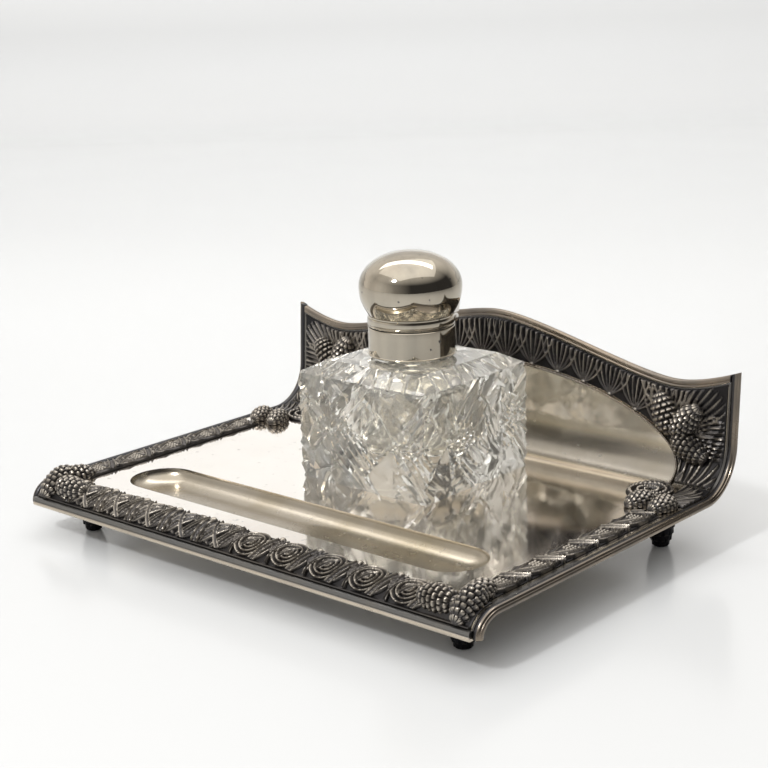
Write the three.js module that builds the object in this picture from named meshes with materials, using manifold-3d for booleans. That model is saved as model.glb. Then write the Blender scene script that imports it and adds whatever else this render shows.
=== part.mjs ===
// A silver inkstand. A tray on four cast feet has a pressed pen trough, a rolled front and a shaped
// upright back, with cast borders of leaves and pine cones. A square cut-glass bottle with a hinged
// ball lid stands on it. Millimetres, +Z up, +Y to the back, origin under the middle of the tray.
import * as THREE from "three";
import { mergeVertices } from "three/addons/utils/BufferGeometryUtils.js";
import Module from "manifold-3d";

// Tray, overall
const WIDTH = 240; // over the side rims
const DEPTH = 170; // front rim to the back of the top rim
const FIELD_TOP = 21.3; // height of the polished field over the table
const SHEET = 1.5; // thickness of the formed sheet
const SOLDER = 0.1; // gap that solder fills under each mount

// Rolled front
const FLANGE_REACH = 13; // from the front of the rim to where the field is flat
const FLANGE_DROP = 8.3;

// Cove and upright back
const COVE_RADIUS = 19;
const BACK_LEAN = THREE.MathUtils.degToRad(3.5);
const PEAK_RISE = 58.6; // top of the back over the field, in the middle
const DIP_RISE = 41.1; // its lowest point
const HORN_RISE = 47.7; // its tips at the sides
const DIP_FROM_EDGE = 28.5;

// Edge mouldings
const RIM_WIDTH = 3.4;
const RIM_PROUD = 0.6; // over the sheet's upper face
const RIM_UNDER = 0.9; // under the sheet's lower face
const RIM_ROUND = 1.1;
const LIP_PROUD = 2; // front rim before the rolled front
const LIP_UNDER = 0.8; // front rim below the sheet's edge
const TOP_RIM_WIDTH = 3.2;

// Pen trough
const TROUGH_FROM_BORDER = 11.3; // from its end to the side border
const TROUGH_WIDTH = 28.1;
const TROUGH_DEPTH = 5.6;
const TROUGH_WALL_RUN = 7; // width of its curved wall
const TROUGH_FROM_FRONT = 39;

// Cast borders
const BORDER_RISE = 2.1;
const BORDER_ROUND = 1;
const FRONT_BORDER_DEPTH = 14.5; // front rim to its inner edge
const FRONT_BORDER_START = THREE.MathUtils.degToRad(17); // up the rolled front from its lip
const SIDE_BORDER_FROM_EDGE = 6.5;
const SIDE_BORDER_WIDTH = 10.5;
const SIDE_BORDER_START = 31; // from the front of the tray
const CORNER_SCROLL_RUN = 26.6; // from the side border's end to the cove
const BACK_BORDER_RISE = 1.6;
const ARCH_FROM_EDGE = 22.8;
const ARCH_RISE = 36.4;
const ARCH_BEAD = 1.3;
const BORDER_MARGIN = 1.2; // plain strip inside the mouldings, and between neighbours on the sheet

// Pine cones and spirals
const CONE_LENGTH = 17;
const CONE_RADIUS = 4.4;
const SMALL_CONE_LENGTH = 15;
const SMALL_CONE_RADIUS = 3.6;
const SPIRAL_RADIUS = 9.3;
const SPIRAL_WIRE = 1.5;
const CLUSTER_HUB = 5;

// Feet
const FOOT_FROM_EDGE = 20.1;
const FRONT_FOOT = 17.8; // behind the front of the tray
const BACK_FOOT = 2.9; // before the cove
const FOOT_TOP_RADIUS = 5;
const FOOT_WIDEST = 6;
const FOOT_SOLE_RADIUS = 3;

// Glass bottle
const BOTTLE_TO_COVE = 1.9;
const BOTTLE_SIDE = 67.7;
const BOTTLE_BODY = 44.7;
const BOTTLE_CORNER = 5; // leg of the upright corner cut
const SHOULDER_RISE = 4.6;
const SHOULDER_RUN = 9;
const GLASS_WALL = 12;
const GLASS_BASE = 13;
const RESERVOIR_ROUND = 6;
const NECK_RADIUS = 15.6;
const BORE_RADIUS = 11.5;
const NECK_HEIGHT = 12.4; // over the shoulder

// Collar
const CEMENT = 1.6; // thickness of the plaster between neck and collar
const COLLAR_WALL = 0.8;
const COLLAR_LIFT = 1.6; // bare glass between shoulder and collar
const COLLAR_TOP = 0.8; // thickness of its turned-in top
const CEMENT_GAP = 0.1;

// Lid
const SEAT_GAP = 0.4; // dark line between collar and lid
const BEZEL_HEIGHT = 4.4;
const BEZEL_WALL = 3.2;
const DOME_RADIUS = 21.3;
const WAIST_STEP = 0.6; // how far the foot of the ball is inside the bezel
const DOME_BELLY = 11.5; // widest point over the bezel
const DOME_HEIGHT = 26;
const DOME_WALL = 1;

// Hinge at the back of the collar
const KNUCKLE_RADIUS = 1.9;
const PIN_RADIUS = 0.8;
const PIN_CLEARANCE = 0.08;
const PIN_PROUD = 0.4;
const OUTER_KNUCKLE = 4;
const MIDDLE_KNUCKLE = 6;
const KNUCKLE_GAP = 0.2;
const LEAF_THICKNESS = 1.2;
const LEAF_HEIGHT = 8;
const LUG_RISE = 11; // stop lug over the pin's axis
const LUG_REACH = 3.9; // behind the pin's axis
const HINGE_GAP = 0.3;

// Facets
const ROUND = 32;
const SMALL_ROUND = 16;
const CURVE_STEPS = 8;
const OUTLINE_STEPS = 9;
const FAR = 400; // past everything, for cutting solids

// Worked out from the sizes above
const halfWidth = WIDTH / 2;
const frontY = -DEPTH / 2;
const backY = DEPTH / 2;
const sheetEdge = halfWidth - RIM_WIDTH;
const flangeY = frontY + FLANGE_REACH;
const flangeZ = FIELD_TOP - FLANGE_DROP;
const flangeRun = FLANGE_REACH - LIP_PROUD;
const coveZ = FIELD_TOP + COVE_RADIUS;
const coveSweep = Math.PI / 2 - BACK_LEAN;
const peakZ = FIELD_TOP + PEAK_RISE;
const outerCove = COVE_RADIUS + SHEET + RIM_UNDER;
const leanRun = (peakZ - coveZ + outerCove * Math.sin(BACK_LEAN)) * Math.tan(BACK_LEAN);
const coveY = backY - leanRun - outerCove * Math.cos(BACK_LEAN);
const borderFrontY = frontY + FRONT_BORDER_DEPTH;
const tipY = coveY - CORNER_SCROLL_RUN;
const sideBorderOuter = halfWidth - SIDE_BORDER_FROM_EDGE;
const sideBorderInner = sideBorderOuter - SIDE_BORDER_WIDTH;
const troughLength = 2 * (sideBorderInner - TROUGH_FROM_BORDER);
const dipFromMiddle = halfWidth - DIP_FROM_EDGE;
const archHalfWidth = halfWidth - ARCH_FROM_EDGE;
const bottleY = coveY - BOTTLE_TO_COVE - BOTTLE_SIDE / 2;
const shoulderZ = BOTTLE_BODY + SHOULDER_RISE;
const collarZ = shoulderZ + COLLAR_LIFT;
const lipZ = shoulderZ + NECK_HEIGHT;
const collarTopZ = lipZ + SOLDER + COLLAR_TOP;
const collarBore = NECK_RADIUS + CEMENT;
const collarRadius = collarBore + COLLAR_WALL;
const domeWaist = collarRadius - WAIST_STEP;
const hingeStandoff = KNUCKLE_RADIUS + HINGE_GAP; // from the collar's face to the pin's axis
const hingeY = collarRadius + hingeStandoff;
const hingeZ = collarTopZ + SEAT_GAP / 2;
const lidZ = collarTopZ + SEAT_GAP - hingeZ; // under the lid, from the pin's axis
const domeZ = lidZ + BEZEL_HEIGHT;

const POLISHED = { color: 0xc9bda8, roughness: 0.18, metalness: 1 };
const OXIDISED = { color: 0x5a554c, roughness: 0.45, metalness: 0.9 };
const BLACKENED = { color: 0x2b2824, roughness: 0.5, metalness: 0.8 };
const GLASS = { color: 0xdfe6e2, roughness: 0.05, metalness: 0, transparent: true, opacity: 0.5 };
const PLASTER = { color: 0xd8d2c4, roughness: 0.9, metalness: 0 };

const wasm = await Module();
wasm.setup();

// A closed geometry as a manifold-3d solid.
function solid(geometry) {
  const bare = geometry.clone();
  for (const name of ["normal", "uv"]) bare.deleteAttribute(name);
  const merged = mergeVertices(bare, 1e-4);
  const corners = merged.index.array;
  const triVerts = [];
  for (let i = 0; i < corners.length; i += 3) {
    const [a, b, c] = corners.slice(i, i + 3);
    if (a !== b && b !== c && c !== a) triVerts.push(a, b, c);
  }
  const vertProperties = merged.attributes.position.array;
  return new wasm.Manifold(
    new wasm.Mesh({ numProp: 3, vertProperties, triVerts: new Uint32Array(triVerts) }),
  );
}

const union = (bodies) => bodies.reduce((all, body) => all.add(body));

// A named mesh of a solid.
function piece(name, body, finish) {
  const { vertProperties, triVerts } = body.getMesh();
  const geometry = new THREE.BufferGeometry();
  geometry.setAttribute("position", new THREE.BufferAttribute(vertProperties, 3));
  geometry.setIndex(new THREE.BufferAttribute(triVerts, 1));
  geometry.computeVertexNormals();
  const mesh = new THREE.Mesh(geometry, new THREE.MeshStandardMaterial(finish));
  mesh.name = name;
  return mesh;
}

// Shape from [across, up] points.
const outline = (points) => new THREE.Shape(points.map(([a, b]) => new THREE.Vector2(a, b)));

// A prism of a shape, its two axes and its length laid along the given directions.
function prism(shape, length, across, up, along, options = {}) {
  const geometry = new THREE.ExtrudeGeometry(shape, {
    depth: length,
    steps: 1,
    bevelEnabled: false,
    curveSegments: CURVE_STEPS,
    ...options,
  });
  return geometry.applyMatrix4(new THREE.Matrix4().makeBasis(across, up, along));
}

const X = new THREE.Vector3(1, 0, 0);
const Y = new THREE.Vector3(0, 1, 0);
const Z = new THREE.Vector3(0, 0, 1);

// Prisms along X from [y, z] points and along Y from [x, z] points.
const alongX = (points, x0, x1) => solid(prism(outline(points), x1 - x0, Y, Z, X).translate(x0, 0, 0));
const alongY = (points, y0, y1) =>
  solid(prism(outline(points), y1 - y0, X, Z, Y.clone().negate()).translate(0, y1, 0));

// A turned solid about Z from [radius, height] points.
function turned(points, segments = ROUND) {
  const profile = points.map(([r, z]) => new THREE.Vector2(r, z));
  return solid(new THREE.LatheGeometry(profile, segments).rotateX(Math.PI / 2));
}

function block(x0, x1, y0, y1, z0, z1) {
  const geometry = new THREE.BoxGeometry(x1 - x0, y1 - y0, z1 - z0);
  return solid(geometry.translate((x0 + x1) / 2, (y0 + y1) / 2, (z0 + z1) / 2));
}

const steps = (count) => Array.from({ length: count + 1 }, (_, i) => i / count);
const mirrored = (body) => body.scale([-1, 1, 1]);

// The tray's section as [y, z] points, moved out of its upper face by a lift.
function flangePoints(lift, from = 0) {
  return steps(CURVE_STEPS).map((t) => {
    const turn = from + t * (Math.PI / 2 - from);
    const y = flangeY - (flangeRun + lift) * Math.cos(turn);
    return [y, flangeZ + (FLANGE_DROP + lift) * Math.sin(turn)];
  });
}

function covePoints(lift) {
  const radius = COVE_RADIUS - lift;
  const arc = steps(CURVE_STEPS).map((t) => {
    const turn = t * coveSweep;
    return [coveY + radius * Math.sin(turn), coveZ - radius * Math.cos(turn)];
  });
  const [endY, endZ] = arc[CURVE_STEPS];
  const topZ = peakZ + TOP_RIM_WIDTH;
  return [...arc, [endY + (topZ - endZ) * Math.tan(BACK_LEAN), topZ]];
}

const section = (lift) => [...flangePoints(lift), ...covePoints(lift)];
const band = (inner, outer) => [...inner, ...outer.reverse()];

// The upper edge of the back, lowered by a drop: a bow in the middle and a horn at each side.
function crestPoints(drop) {
  const at = (x, rise) => new THREE.Vector2(x, FIELD_TOP + rise - drop);
  const dip = at(dipFromMiddle, DIP_RISE);
  const bow = new THREE.CubicBezierCurve(
    at(0, PEAK_RISE),
    at(dipFromMiddle * 0.24, PEAK_RISE),
    at(dipFromMiddle * 0.79, DIP_RISE),
    dip,
  );
  const past = halfWidth - dipFromMiddle;
  const horn = new THREE.CubicBezierCurve(
    dip,
    at(dipFromMiddle + past * 0.33, DIP_RISE),
    at(dipFromMiddle + past * 0.72, DIP_RISE + (HORN_RISE - DIP_RISE) * 0.55),
    at(halfWidth, HORN_RISE),
  );
  const right = [...bow.getPoints(OUTLINE_STEPS), ...horn.getPoints(OUTLINE_STEPS).slice(1)];
  const left = right.slice(1).reverse();
  return [...left.map(({ x, y }) => [-x, y]), ...right.map(({ x, y }) => [x, y])];
}

// Everything under the crest.
const underCrest = (drop) =>
  alongY([[-halfWidth, -FAR], ...crestPoints(drop), [halfWidth, -FAR]], -FAR, FAR);

// Half an ellipse on the back, as [x, z] points from right to left.
function archPoints(grow) {
  return steps(4 * CURVE_STEPS).map((t) => {
    const turn = t * Math.PI;
    const x = (archHalfWidth + grow) * Math.cos(turn);
    return [x, FIELD_TOP + (ARCH_RISE + grow) * Math.sin(turn)];
  });
}

const underArch = (grow) => {
  const foot = archHalfWidth + grow;
  return alongY([[foot, -FAR], ...archPoints(grow), [-foot, -FAR]], -FAR, FAR);
};

// Everything before and over the tray's face, past a lift.
function before(lift) {
  const face = section(lift);
  const [, topZ] = face[face.length - 1];
  const [, lowZ] = face[0];
  return alongX([...face, [frontY - FAR, topZ], [frontY - FAR, lowZ]], -sheetEdge, sheetEdge);
}

// A stadium-shaped plug whose lower edge is rounded into a dish.
function dish(grow) {
  const radius = TROUGH_WIDTH / 2 - TROUGH_WALL_RUN;
  const reach = troughLength / 2 - TROUGH_WIDTH / 2;
  const shape = new THREE.Shape();
  shape.absarc(reach, 0, radius, -Math.PI / 2, Math.PI / 2);
  shape.absarc(-reach, 0, radius, Math.PI / 2, (3 * Math.PI) / 2);
  const geometry = prism(shape, TROUGH_DEPTH, X, Y, Z, {
    bevelEnabled: true,
    bevelThickness: TROUGH_DEPTH + grow,
    bevelSize: TROUGH_WALL_RUN + grow,
    bevelSegments: CURVE_STEPS / 2,
  });
  return solid(geometry.translate(0, frontY + TROUGH_FROM_FRONT, FIELD_TOP));
}

function traySheet() {
  const formed = alongX(band(section(-SHEET), section(0)), -sheetEdge, sheetEdge);
  const underField = block(-FAR, FAR, frontY, coveY, -FAR, FIELD_TOP);
  const pressed = dish(SHEET).intersect(underField);
  return formed.intersect(underCrest(TOP_RIM_WIDTH + SOLDER)).add(pressed).subtract(dish(0));
}

// The rounded moulding along the tray's right edge, from the front lip to the horn.
function sideRim() {
  const shape = outline(band(section(-SHEET - RIM_UNDER), section(RIM_PROUD)));
  const geometry = prism(shape, RIM_WIDTH - 2 * RIM_ROUND, Y, Z, X, {
    bevelEnabled: true,
    bevelThickness: RIM_ROUND,
    bevelSize: RIM_ROUND,
    bevelOffset: -RIM_ROUND,
    bevelSegments: 2,
  });
  return solid(geometry.translate(sheetEdge + RIM_ROUND, 0, 0)).intersect(underCrest(0));
}

function topRim() {
  const full = alongX(
    band(section(-SHEET - RIM_UNDER), section(RIM_PROUD)),
    -sheetEdge + SOLDER,
    sheetEdge - SOLDER,
  );
  return full.intersect(underCrest(0)).subtract(underCrest(TOP_RIM_WIDTH));
}

// The plain strip along the front lip, turned under the sheet's edge.
function frontRim() {
  const lap = (lift) =>
    steps(CURVE_STEPS).map((t) => {
      const turn = t * (FRONT_BORDER_START - SOLDER / FLANGE_REACH);
      const y = flangeY - (flangeRun + lift) * Math.cos(turn);
      return [y, flangeZ + (FLANGE_DROP + lift) * Math.sin(turn)];
    });
  const lipBackY = frontY + LIP_PROUD + SHEET;
  const under = [
    [lipBackY, flangeZ - SOLDER],
    [lipBackY, flangeZ - LIP_UNDER],
    [frontY + LIP_PROUD / 2, flangeZ - LIP_UNDER],
  ];
  const inner = lap(SOLDER).reverse();
  inner[inner.length - 1][1] -= SOLDER;
  return alongX([...lap(LIP_PROUD), ...inner, ...under], -sheetEdge + SOLDER, sheetEdge - SOLDER);
}

// The leaf border over the rolled front, with a rounded inner edge.
function frontBorder() {
  const top = FIELD_TOP + BORDER_RISE;
  const edge = [
    [borderFrontY - BORDER_ROUND, top],
    [borderFrontY, top - BORDER_ROUND],
    [borderFrontY, FIELD_TOP + SOLDER],
  ];
  const under = flangePoints(SOLDER, FRONT_BORDER_START).reverse();
  const over = flangePoints(BORDER_RISE, FRONT_BORDER_START);
  return alongX([...over, ...edge, ...under], -sheetEdge + BORDER_MARGIN, sheetEdge - BORDER_MARGIN);
}

// The leaf border along the right side.
function sideBorder() {
  const [outer, inner] = [sideBorderOuter, sideBorderInner];
  const top = FIELD_TOP + BORDER_RISE;
  const points = [
    [inner, FIELD_TOP + SOLDER],
    [outer, FIELD_TOP + SOLDER],
    [outer, top - BORDER_ROUND],
    [outer - BORDER_ROUND, top],
    [inner + BORDER_ROUND, top],
    [inner, top - BORDER_ROUND],
  ];
  return alongY(points, frontY + SIDE_BORDER_START, tipY);
}

// The needle border on the back, between the arch and the mouldings.
function backBorder() {
  const low = covePoints(SOLDER);
  const high = covePoints(SOLDER + BACK_BORDER_RISE);
  const skin = alongX(band(low, high), -sheetEdge + BORDER_MARGIN, sheetEdge - BORDER_MARGIN);
  const lowest = FIELD_TOP + SOLDER + BACK_BORDER_RISE;
  const floor = block(-FAR, FAR, -FAR, FAR, -FAR, lowest);
  const inside = underArch(ARCH_BEAD + BORDER_MARGIN / 4);
  return skin.intersect(underCrest(TOP_RIM_WIDTH + BORDER_MARGIN)).subtract(inside).subtract(floor);
}

// The thin wire that frames the polished field of the back.
function archBead() {
  const skin = alongX(band(covePoints(SOLDER), covePoints(SOLDER + ARCH_BEAD)), -sheetEdge, sheetEdge);
  return skin.intersect(underArch(ARCH_BEAD)).subtract(underArch(0));
}

// A pine cone lying along +Y with its tip forward, on a point of the sheet.
function pineCone(length, radius) {
  const shape = [
    [0, -0.5],
    [0.55, -0.46],
    [0.95, -0.25],
    [1, -0.02],
    [0.8, 0.24],
    [0.42, 0.43],
    [0, 0.5],
  ].map(([r, z]) => new THREE.Vector2(r * radius, z * length));
  return new THREE.LatheGeometry(shape, SMALL_ROUND);
}

// Cones at [x, y, z] places, each turned by a heading about Z and a pitch, joined by a round hub.
function coneCluster(cones, hub, hubTurn) {
  const bodies = cones.map(({ at, heading, pitch, length, radius }) => {
    const turn = new THREE.Euler(pitch, 0, heading, "ZXY");
    const matrix = new THREE.Matrix4().makeRotationFromEuler(turn).setPosition(...at);
    return solid(pineCone(length, radius).applyMatrix4(matrix));
  });
  const disc = new THREE.SphereGeometry(CLUSTER_HUB, SMALL_ROUND, SMALL_ROUND / 2);
  const seat = new THREE.Matrix4().makeRotationX(hubTurn).setPosition(...hub);
  return union([...bodies, solid(disc.applyMatrix4(seat))]);
}

// Three cones on the front corner: one along each border and one down the corner.
function frontCones() {
  const top = FIELD_TOP + BORDER_RISE;
  const cone = { length: CONE_LENGTH, radius: CONE_RADIUS };
  const outer = sheetEdge - BORDER_MARGIN - CONE_RADIUS;
  const quarter = Math.PI / 2;
  const cones = [
    { at: [outer - CONE_LENGTH * 0.75, flangeY - 6, top - 2.2], heading: quarter, pitch: 0, ...cone },
    { at: [outer - 1, flangeY - 4.5, top - 2], heading: Math.PI, pitch: -0.5, ...cone },
    { at: [outer - 3, flangeY + 4, top - 1.6], heading: 0.15, pitch: 0, ...cone },
  ];
  const hub = [outer - 5, flangeY - 2.5, top - 3];
  const cap = block(-FAR, FAR, frontY + LIP_PROUD / 2, frontY + SIDE_BORDER_START - SOLDER, -FAR, FAR);
  const field = before(SOLDER).subtract(frontBorderRoom());
  return coneCluster(cones, hub, 0).intersect(field).intersect(cap);
}

// The space of the front border with the solder under what stands on it.
function frontBorderRoom() {
  const over = flangePoints(BORDER_RISE + SOLDER, 0);
  const under = flangePoints(-SHEET, 0).reverse();
  const top = FIELD_TOP + BORDER_RISE + SOLDER;
  const inner = borderFrontY + SOLDER;
  return alongX([...over, [inner, top], [inner, FIELD_TOP], ...under], -FAR, FAR);
}

// Three cones that spread over the back corner, seated on the needle border.
function backCones() {
  const lift = 2 * SOLDER + BACK_BORDER_RISE;
  const radius = COVE_RADIUS - lift;
  const faceY = (z) => {
    const drop = Math.min((coveZ - z) / radius, 1);
    const endZ = coveZ - radius * Math.cos(coveSweep);
    const endY = coveY + radius * Math.sin(coveSweep);
    if (z > endZ) return endY + (z - endZ) * Math.tan(BACK_LEAN);
    return coveY + radius * Math.sqrt(1 - drop * drop);
  };
  const slope = (z) => Math.atan2(2, faceY(z + 1) - faceY(z - 1));
  const hubX = halfWidth - 27.5;
  const hubZ = FIELD_TOP + 18.5;
  const cones = [0.4, -0.72, -1.98].map((heading) => {
    const x = hubX - (CONE_LENGTH * 0.55) * Math.sin(heading);
    const z = hubZ + (CONE_LENGTH * 0.55) * Math.cos(heading);
    const turn = new THREE.Matrix4().makeRotationX(slope(z));
    turn.multiply(new THREE.Matrix4().makeRotationZ(heading)).setPosition(x, faceY(z) - 1, z);
    return solid(pineCone(CONE_LENGTH, CONE_RADIUS).applyMatrix4(turn));
  });
  const hub = new THREE.SphereGeometry(CLUSTER_HUB, SMALL_ROUND, SMALL_ROUND / 2);
  const whole = union([...cones, solid(hub.translate(hubX, faceY(hubZ) + 1, hubZ))]);
  const room = block(-FAR, sheetEdge - BORDER_MARGIN, -FAR, FAR, FIELD_TOP + 4, FAR);
  return whole.intersect(before(lift)).intersect(room);
}

// A spiral leaf and two small cones where the side border meets the cove.
function cornerScroll() {
  const cone = { length: SMALL_CONE_LENGTH, radius: SMALL_CONE_RADIUS };
  const outer = sideBorderOuter;
  const coneY = tipY + SMALL_CONE_LENGTH / 2 + BORDER_MARGIN;
  const z = FIELD_TOP + 0.5;
  const hubY = tipY + SMALL_CONE_LENGTH + 4.2;
  const cones = [
    { at: [outer - 14, coneY, z], heading: Math.PI - 0.28, pitch: 0, ...cone },
    { at: [outer - SMALL_CONE_RADIUS, coneY, z], heading: Math.PI - 0.2, pitch: 0, ...cone },
  ];
  const ringX = outer - 19;
  const ringY = hubY + 4.8;
  const ring = new THREE.TorusGeometry(SPIRAL_RADIUS, SPIRAL_WIRE, 6, SMALL_ROUND * 2);
  const core = new THREE.TorusGeometry(SPIRAL_RADIUS / 2, SPIRAL_WIRE, 6, SMALL_ROUND);
  const web = new THREE.CylinderGeometry(SPIRAL_RADIUS, SPIRAL_RADIUS, 1.4, SMALL_ROUND * 2);
  const place = (geometry) => solid(geometry.translate(ringX, ringY, FIELD_TOP + 0.5));
  const spiral = union([place(ring), place(core), place(web.rotateX(Math.PI / 2))]);
  const joined = coneCluster(cones, [outer - 6, hubY, FIELD_TOP - 2.5], 0).add(spiral);
  const ledge = FIELD_TOP + BACK_BORDER_RISE;
  const room = block(-FAR, outer, tipY + SOLDER, FAR, -FAR, ledge).add(
    block(-FAR, outer, tipY + SOLDER, coveY, -FAR, FAR),
  );
  return joined.intersect(before(SOLDER)).intersect(room).subtract(archRoom());
}

// The space of the arch's wire with the solder around it.
function archRoom() {
  const skin = alongX(
    band(covePoints(-SHEET), covePoints(ARCH_BEAD + 2 * SOLDER)),
    -sheetEdge,
    sheetEdge,
  );
  return skin.intersect(underArch(ARCH_BEAD + SOLDER)).subtract(underArch(-SOLDER));
}

function foot() {
  const top = FIELD_TOP - SHEET;
  return turned(
    [
      [0, 0],
      [FOOT_SOLE_RADIUS, 0],
      [FOOT_SOLE_RADIUS + 0.9, 0.8],
      [FOOT_WIDEST - 1.1, top * 0.22],
      [FOOT_WIDEST, top * 0.5],
      [FOOT_WIDEST - 0.4, top * 0.75],
      [FOOT_TOP_RADIUS, top],
      [0, top],
    ],
    SMALL_ROUND,
  );
}

// A square bar with its corners cut, and its frustum, both from the base upward.
function squareBar(side, corner, z0, z1) {
  const half = side / 2;
  const bar = block(-half, half, -half, half, z0, z1);
  const across = (side - corner) / Math.SQRT2;
  const turnedBar = block(-across, across, -across, across, z0, z1).rotate([0, 0, 45]);
  return bar.intersect(turnedBar);
}

function squareFrustum(low, high, z0, z1) {
  const geometry = new THREE.CylinderGeometry(high * Math.SQRT2, low * Math.SQRT2, z1 - z0, 4);
  return solid(geometry.rotateX(Math.PI / 2).rotateZ(Math.PI / 4).translate(0, 0, (z0 + z1) / 2));
}

// The bottle from its base: a cut square body, a sloping shoulder, a neck and a hollow.
function glassBottle() {
  const half = BOTTLE_SIDE / 2;
  const body = squareBar(BOTTLE_SIDE, BOTTLE_CORNER, 0, shoulderZ);
  const below = block(-half, half, -half, half, 0, BOTTLE_BODY);
  const shoulder = squareFrustum(half, half - SHOULDER_RUN, BOTTLE_BODY, shoulderZ);
  const neck = turned([
    [0, shoulderZ - 1],
    [NECK_RADIUS, shoulderZ - 1],
    [NECK_RADIUS, lipZ],
    [0, lipZ],
  ]);
  const inside = half - GLASS_WALL;
  const roof = shoulderZ - GLASS_WALL / 2;
  const hollow = turned([
    [0, GLASS_BASE],
    [inside - RESERVOIR_ROUND, GLASS_BASE],
    [inside - RESERVOIR_ROUND * 0.3, GLASS_BASE + RESERVOIR_ROUND * 0.3],
    [inside, GLASS_BASE + RESERVOIR_ROUND],
    [inside, roof - RESERVOIR_ROUND],
    [inside - RESERVOIR_ROUND * 0.3, roof - RESERVOIR_ROUND * 0.3],
    [BORE_RADIUS, roof],
    [BORE_RADIUS, lipZ + 1],
    [0, lipZ + 1],
  ]);
  return body.intersect(below.add(shoulder)).add(neck).subtract(hollow);
}


// The collar, with a bead at its foot and a top turned in over the glass lip.
function collar() {
  const bead = 0.4;
  return turned([
    [collarBore, collarZ],
    [collarRadius, collarZ],
    [collarRadius + bead, collarZ + bead],
    [collarRadius, collarZ + 2 * bead],
    [collarRadius, collarTopZ - COLLAR_TOP],
    [collarRadius - 0.2, collarTopZ],
    [BORE_RADIUS + 0.2, collarTopZ],
    [BORE_RADIUS, collarTopZ - COLLAR_TOP],
    [collarBore, collarTopZ - COLLAR_TOP],
    [collarBore, collarZ],
  ]);
}

function cementRing() {
  const inner = NECK_RADIUS + CEMENT_GAP;
  const outer = collarBore - CEMENT_GAP;
  const low = collarZ + COLLAR_TOP;
  return turned([
    [inner, low],
    [outer, low],
    [outer, lipZ],
    [inner, lipZ],
    [inner, low],
  ]);
}

// A knuckle along X about the hinge's axis, or the pin when it has no bore.
function barrel(x0, x1, radius, segments) {
  const geometry = new THREE.CylinderGeometry(radius, radius, x1 - x0, segments);
  return solid(geometry.rotateZ(Math.PI / 2).translate((x0 + x1) / 2, 0, 0));
}

const hingeHalf = MIDDLE_KNUCKLE / 2 + KNUCKLE_GAP + OUTER_KNUCKLE;
const pinHole = () => barrel(-FAR, FAR, PIN_RADIUS + PIN_CLEARANCE, 2 * SMALL_ROUND);

// A round bar on the bottle's axis, seen from the hinge.
function neckRoom(radius, z0, z1) {
  const profile = [
    [0, z0],
    [radius, z0],
    [radius, z1],
    [0, z1],
  ];
  return turned(profile).translate([0, -hingeY, 0]);
}

// Two knuckles on a leaf that is soldered to the collar, from the hinge's axis.
function collarLeaf() {
  const start = MIDDLE_KNUCKLE / 2 + KNUCKLE_GAP;
  const knuckles = [-1, 1].map((side) => {
    const ends = [side * start, side * hingeHalf].sort((a, b) => a - b);
    return barrel(...ends, KNUCKLE_RADIUS, SMALL_ROUND);
  });
  const faceY = -hingeStandoff;
  const low = -LEAF_HEIGHT;
  const web = alongX(
    [
      [faceY - KNUCKLE_RADIUS, low],
      [faceY + LEAF_THICKNESS, low],
      [faceY + LEAF_THICKNESS + 0.4, -KNUCKLE_RADIUS - HINGE_GAP],
      [0, -KNUCKLE_RADIUS * 0.9],
      [0, 0],
      [faceY + HINGE_GAP, 0],
      [faceY - KNUCKLE_RADIUS, -SEAT_GAP],
    ],
    -hingeHalf,
    hingeHalf,
  );
  const swing = barrel(-start, start, KNUCKLE_RADIUS + HINGE_GAP, SMALL_ROUND);
  const leaf = web.subtract(neckRoom(collarRadius + SOLDER, low - 1, SEAT_GAP)).subtract(swing);
  return union([leaf, ...knuckles]).subtract(pinHole());
}

// The middle knuckle, with a lug that rises behind the lid and stops it when it is open.
function lidLeaf() {
  const half = MIDDLE_KNUCKLE / 2;
  const knuckle = barrel(-half, half, KNUCKLE_RADIUS, SMALL_ROUND);
  const faceY = -hingeStandoff;
  const clear = KNUCKLE_RADIUS + HINGE_GAP;
  const stem = alongX(
    [
      [faceY - 1, lidZ + HINGE_GAP],
      [0, 0],
      [KNUCKLE_RADIUS, 0],
      [KNUCKLE_RADIUS + 0.3, clear + 0.5],
      [faceY - 1, clear + 0.5],
    ],
    -half,
    half,
  );
  const lug = alongX(
    [
      [faceY - 2, clear],
      [KNUCKLE_RADIUS, clear],
      [LUG_REACH, LUG_RISE],
      [LUG_REACH - LEAF_THICKNESS, LUG_RISE],
      [faceY - 2, domeZ],
    ],
    -hingeHalf,
    hingeHalf,
  );
  const room = neckRoom(collarRadius + SOLDER, -FAR, domeZ + SOLDER).add(domeRoom());
  return union([knuckle, stem, lug]).subtract(room).subtract(pinHole());
}

// The ball's half section from its foot to its top, grown by an amount.
function domeOutline(grow) {
  const belly = domeZ + DOME_BELLY;
  const curve = (from, to, a, b) =>
    new THREE.CubicBezierCurve(...[from, a, b, to].map(([r, z]) => new THREE.Vector2(r, z)));
  const foot = [domeWaist + grow, domeZ];
  const wide = [DOME_RADIUS + grow, belly];
  const top = [0, domeZ + DOME_HEIGHT + grow];
  const bulge = DOME_RADIUS * 0.56;
  const rise = (DOME_HEIGHT - DOME_BELLY) * 0.58;
  const lower = curve(foot, wide, [foot[0] + 1.8, domeZ + 3], [wide[0], belly - 5.5]);
  const upper = curve(wide, top, [wide[0], belly + rise], [bulge, top[1]]);
  const points = [...lower.getPoints(CURVE_STEPS), ...upper.getPoints(CURVE_STEPS).slice(1)];
  return points.map(({ x, y }) => [x, y]);
}

function domeRoom() {
  return turned([[0, domeZ], ...domeOutline(SOLDER)]).translate([0, -hingeY, 0]);
}

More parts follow.
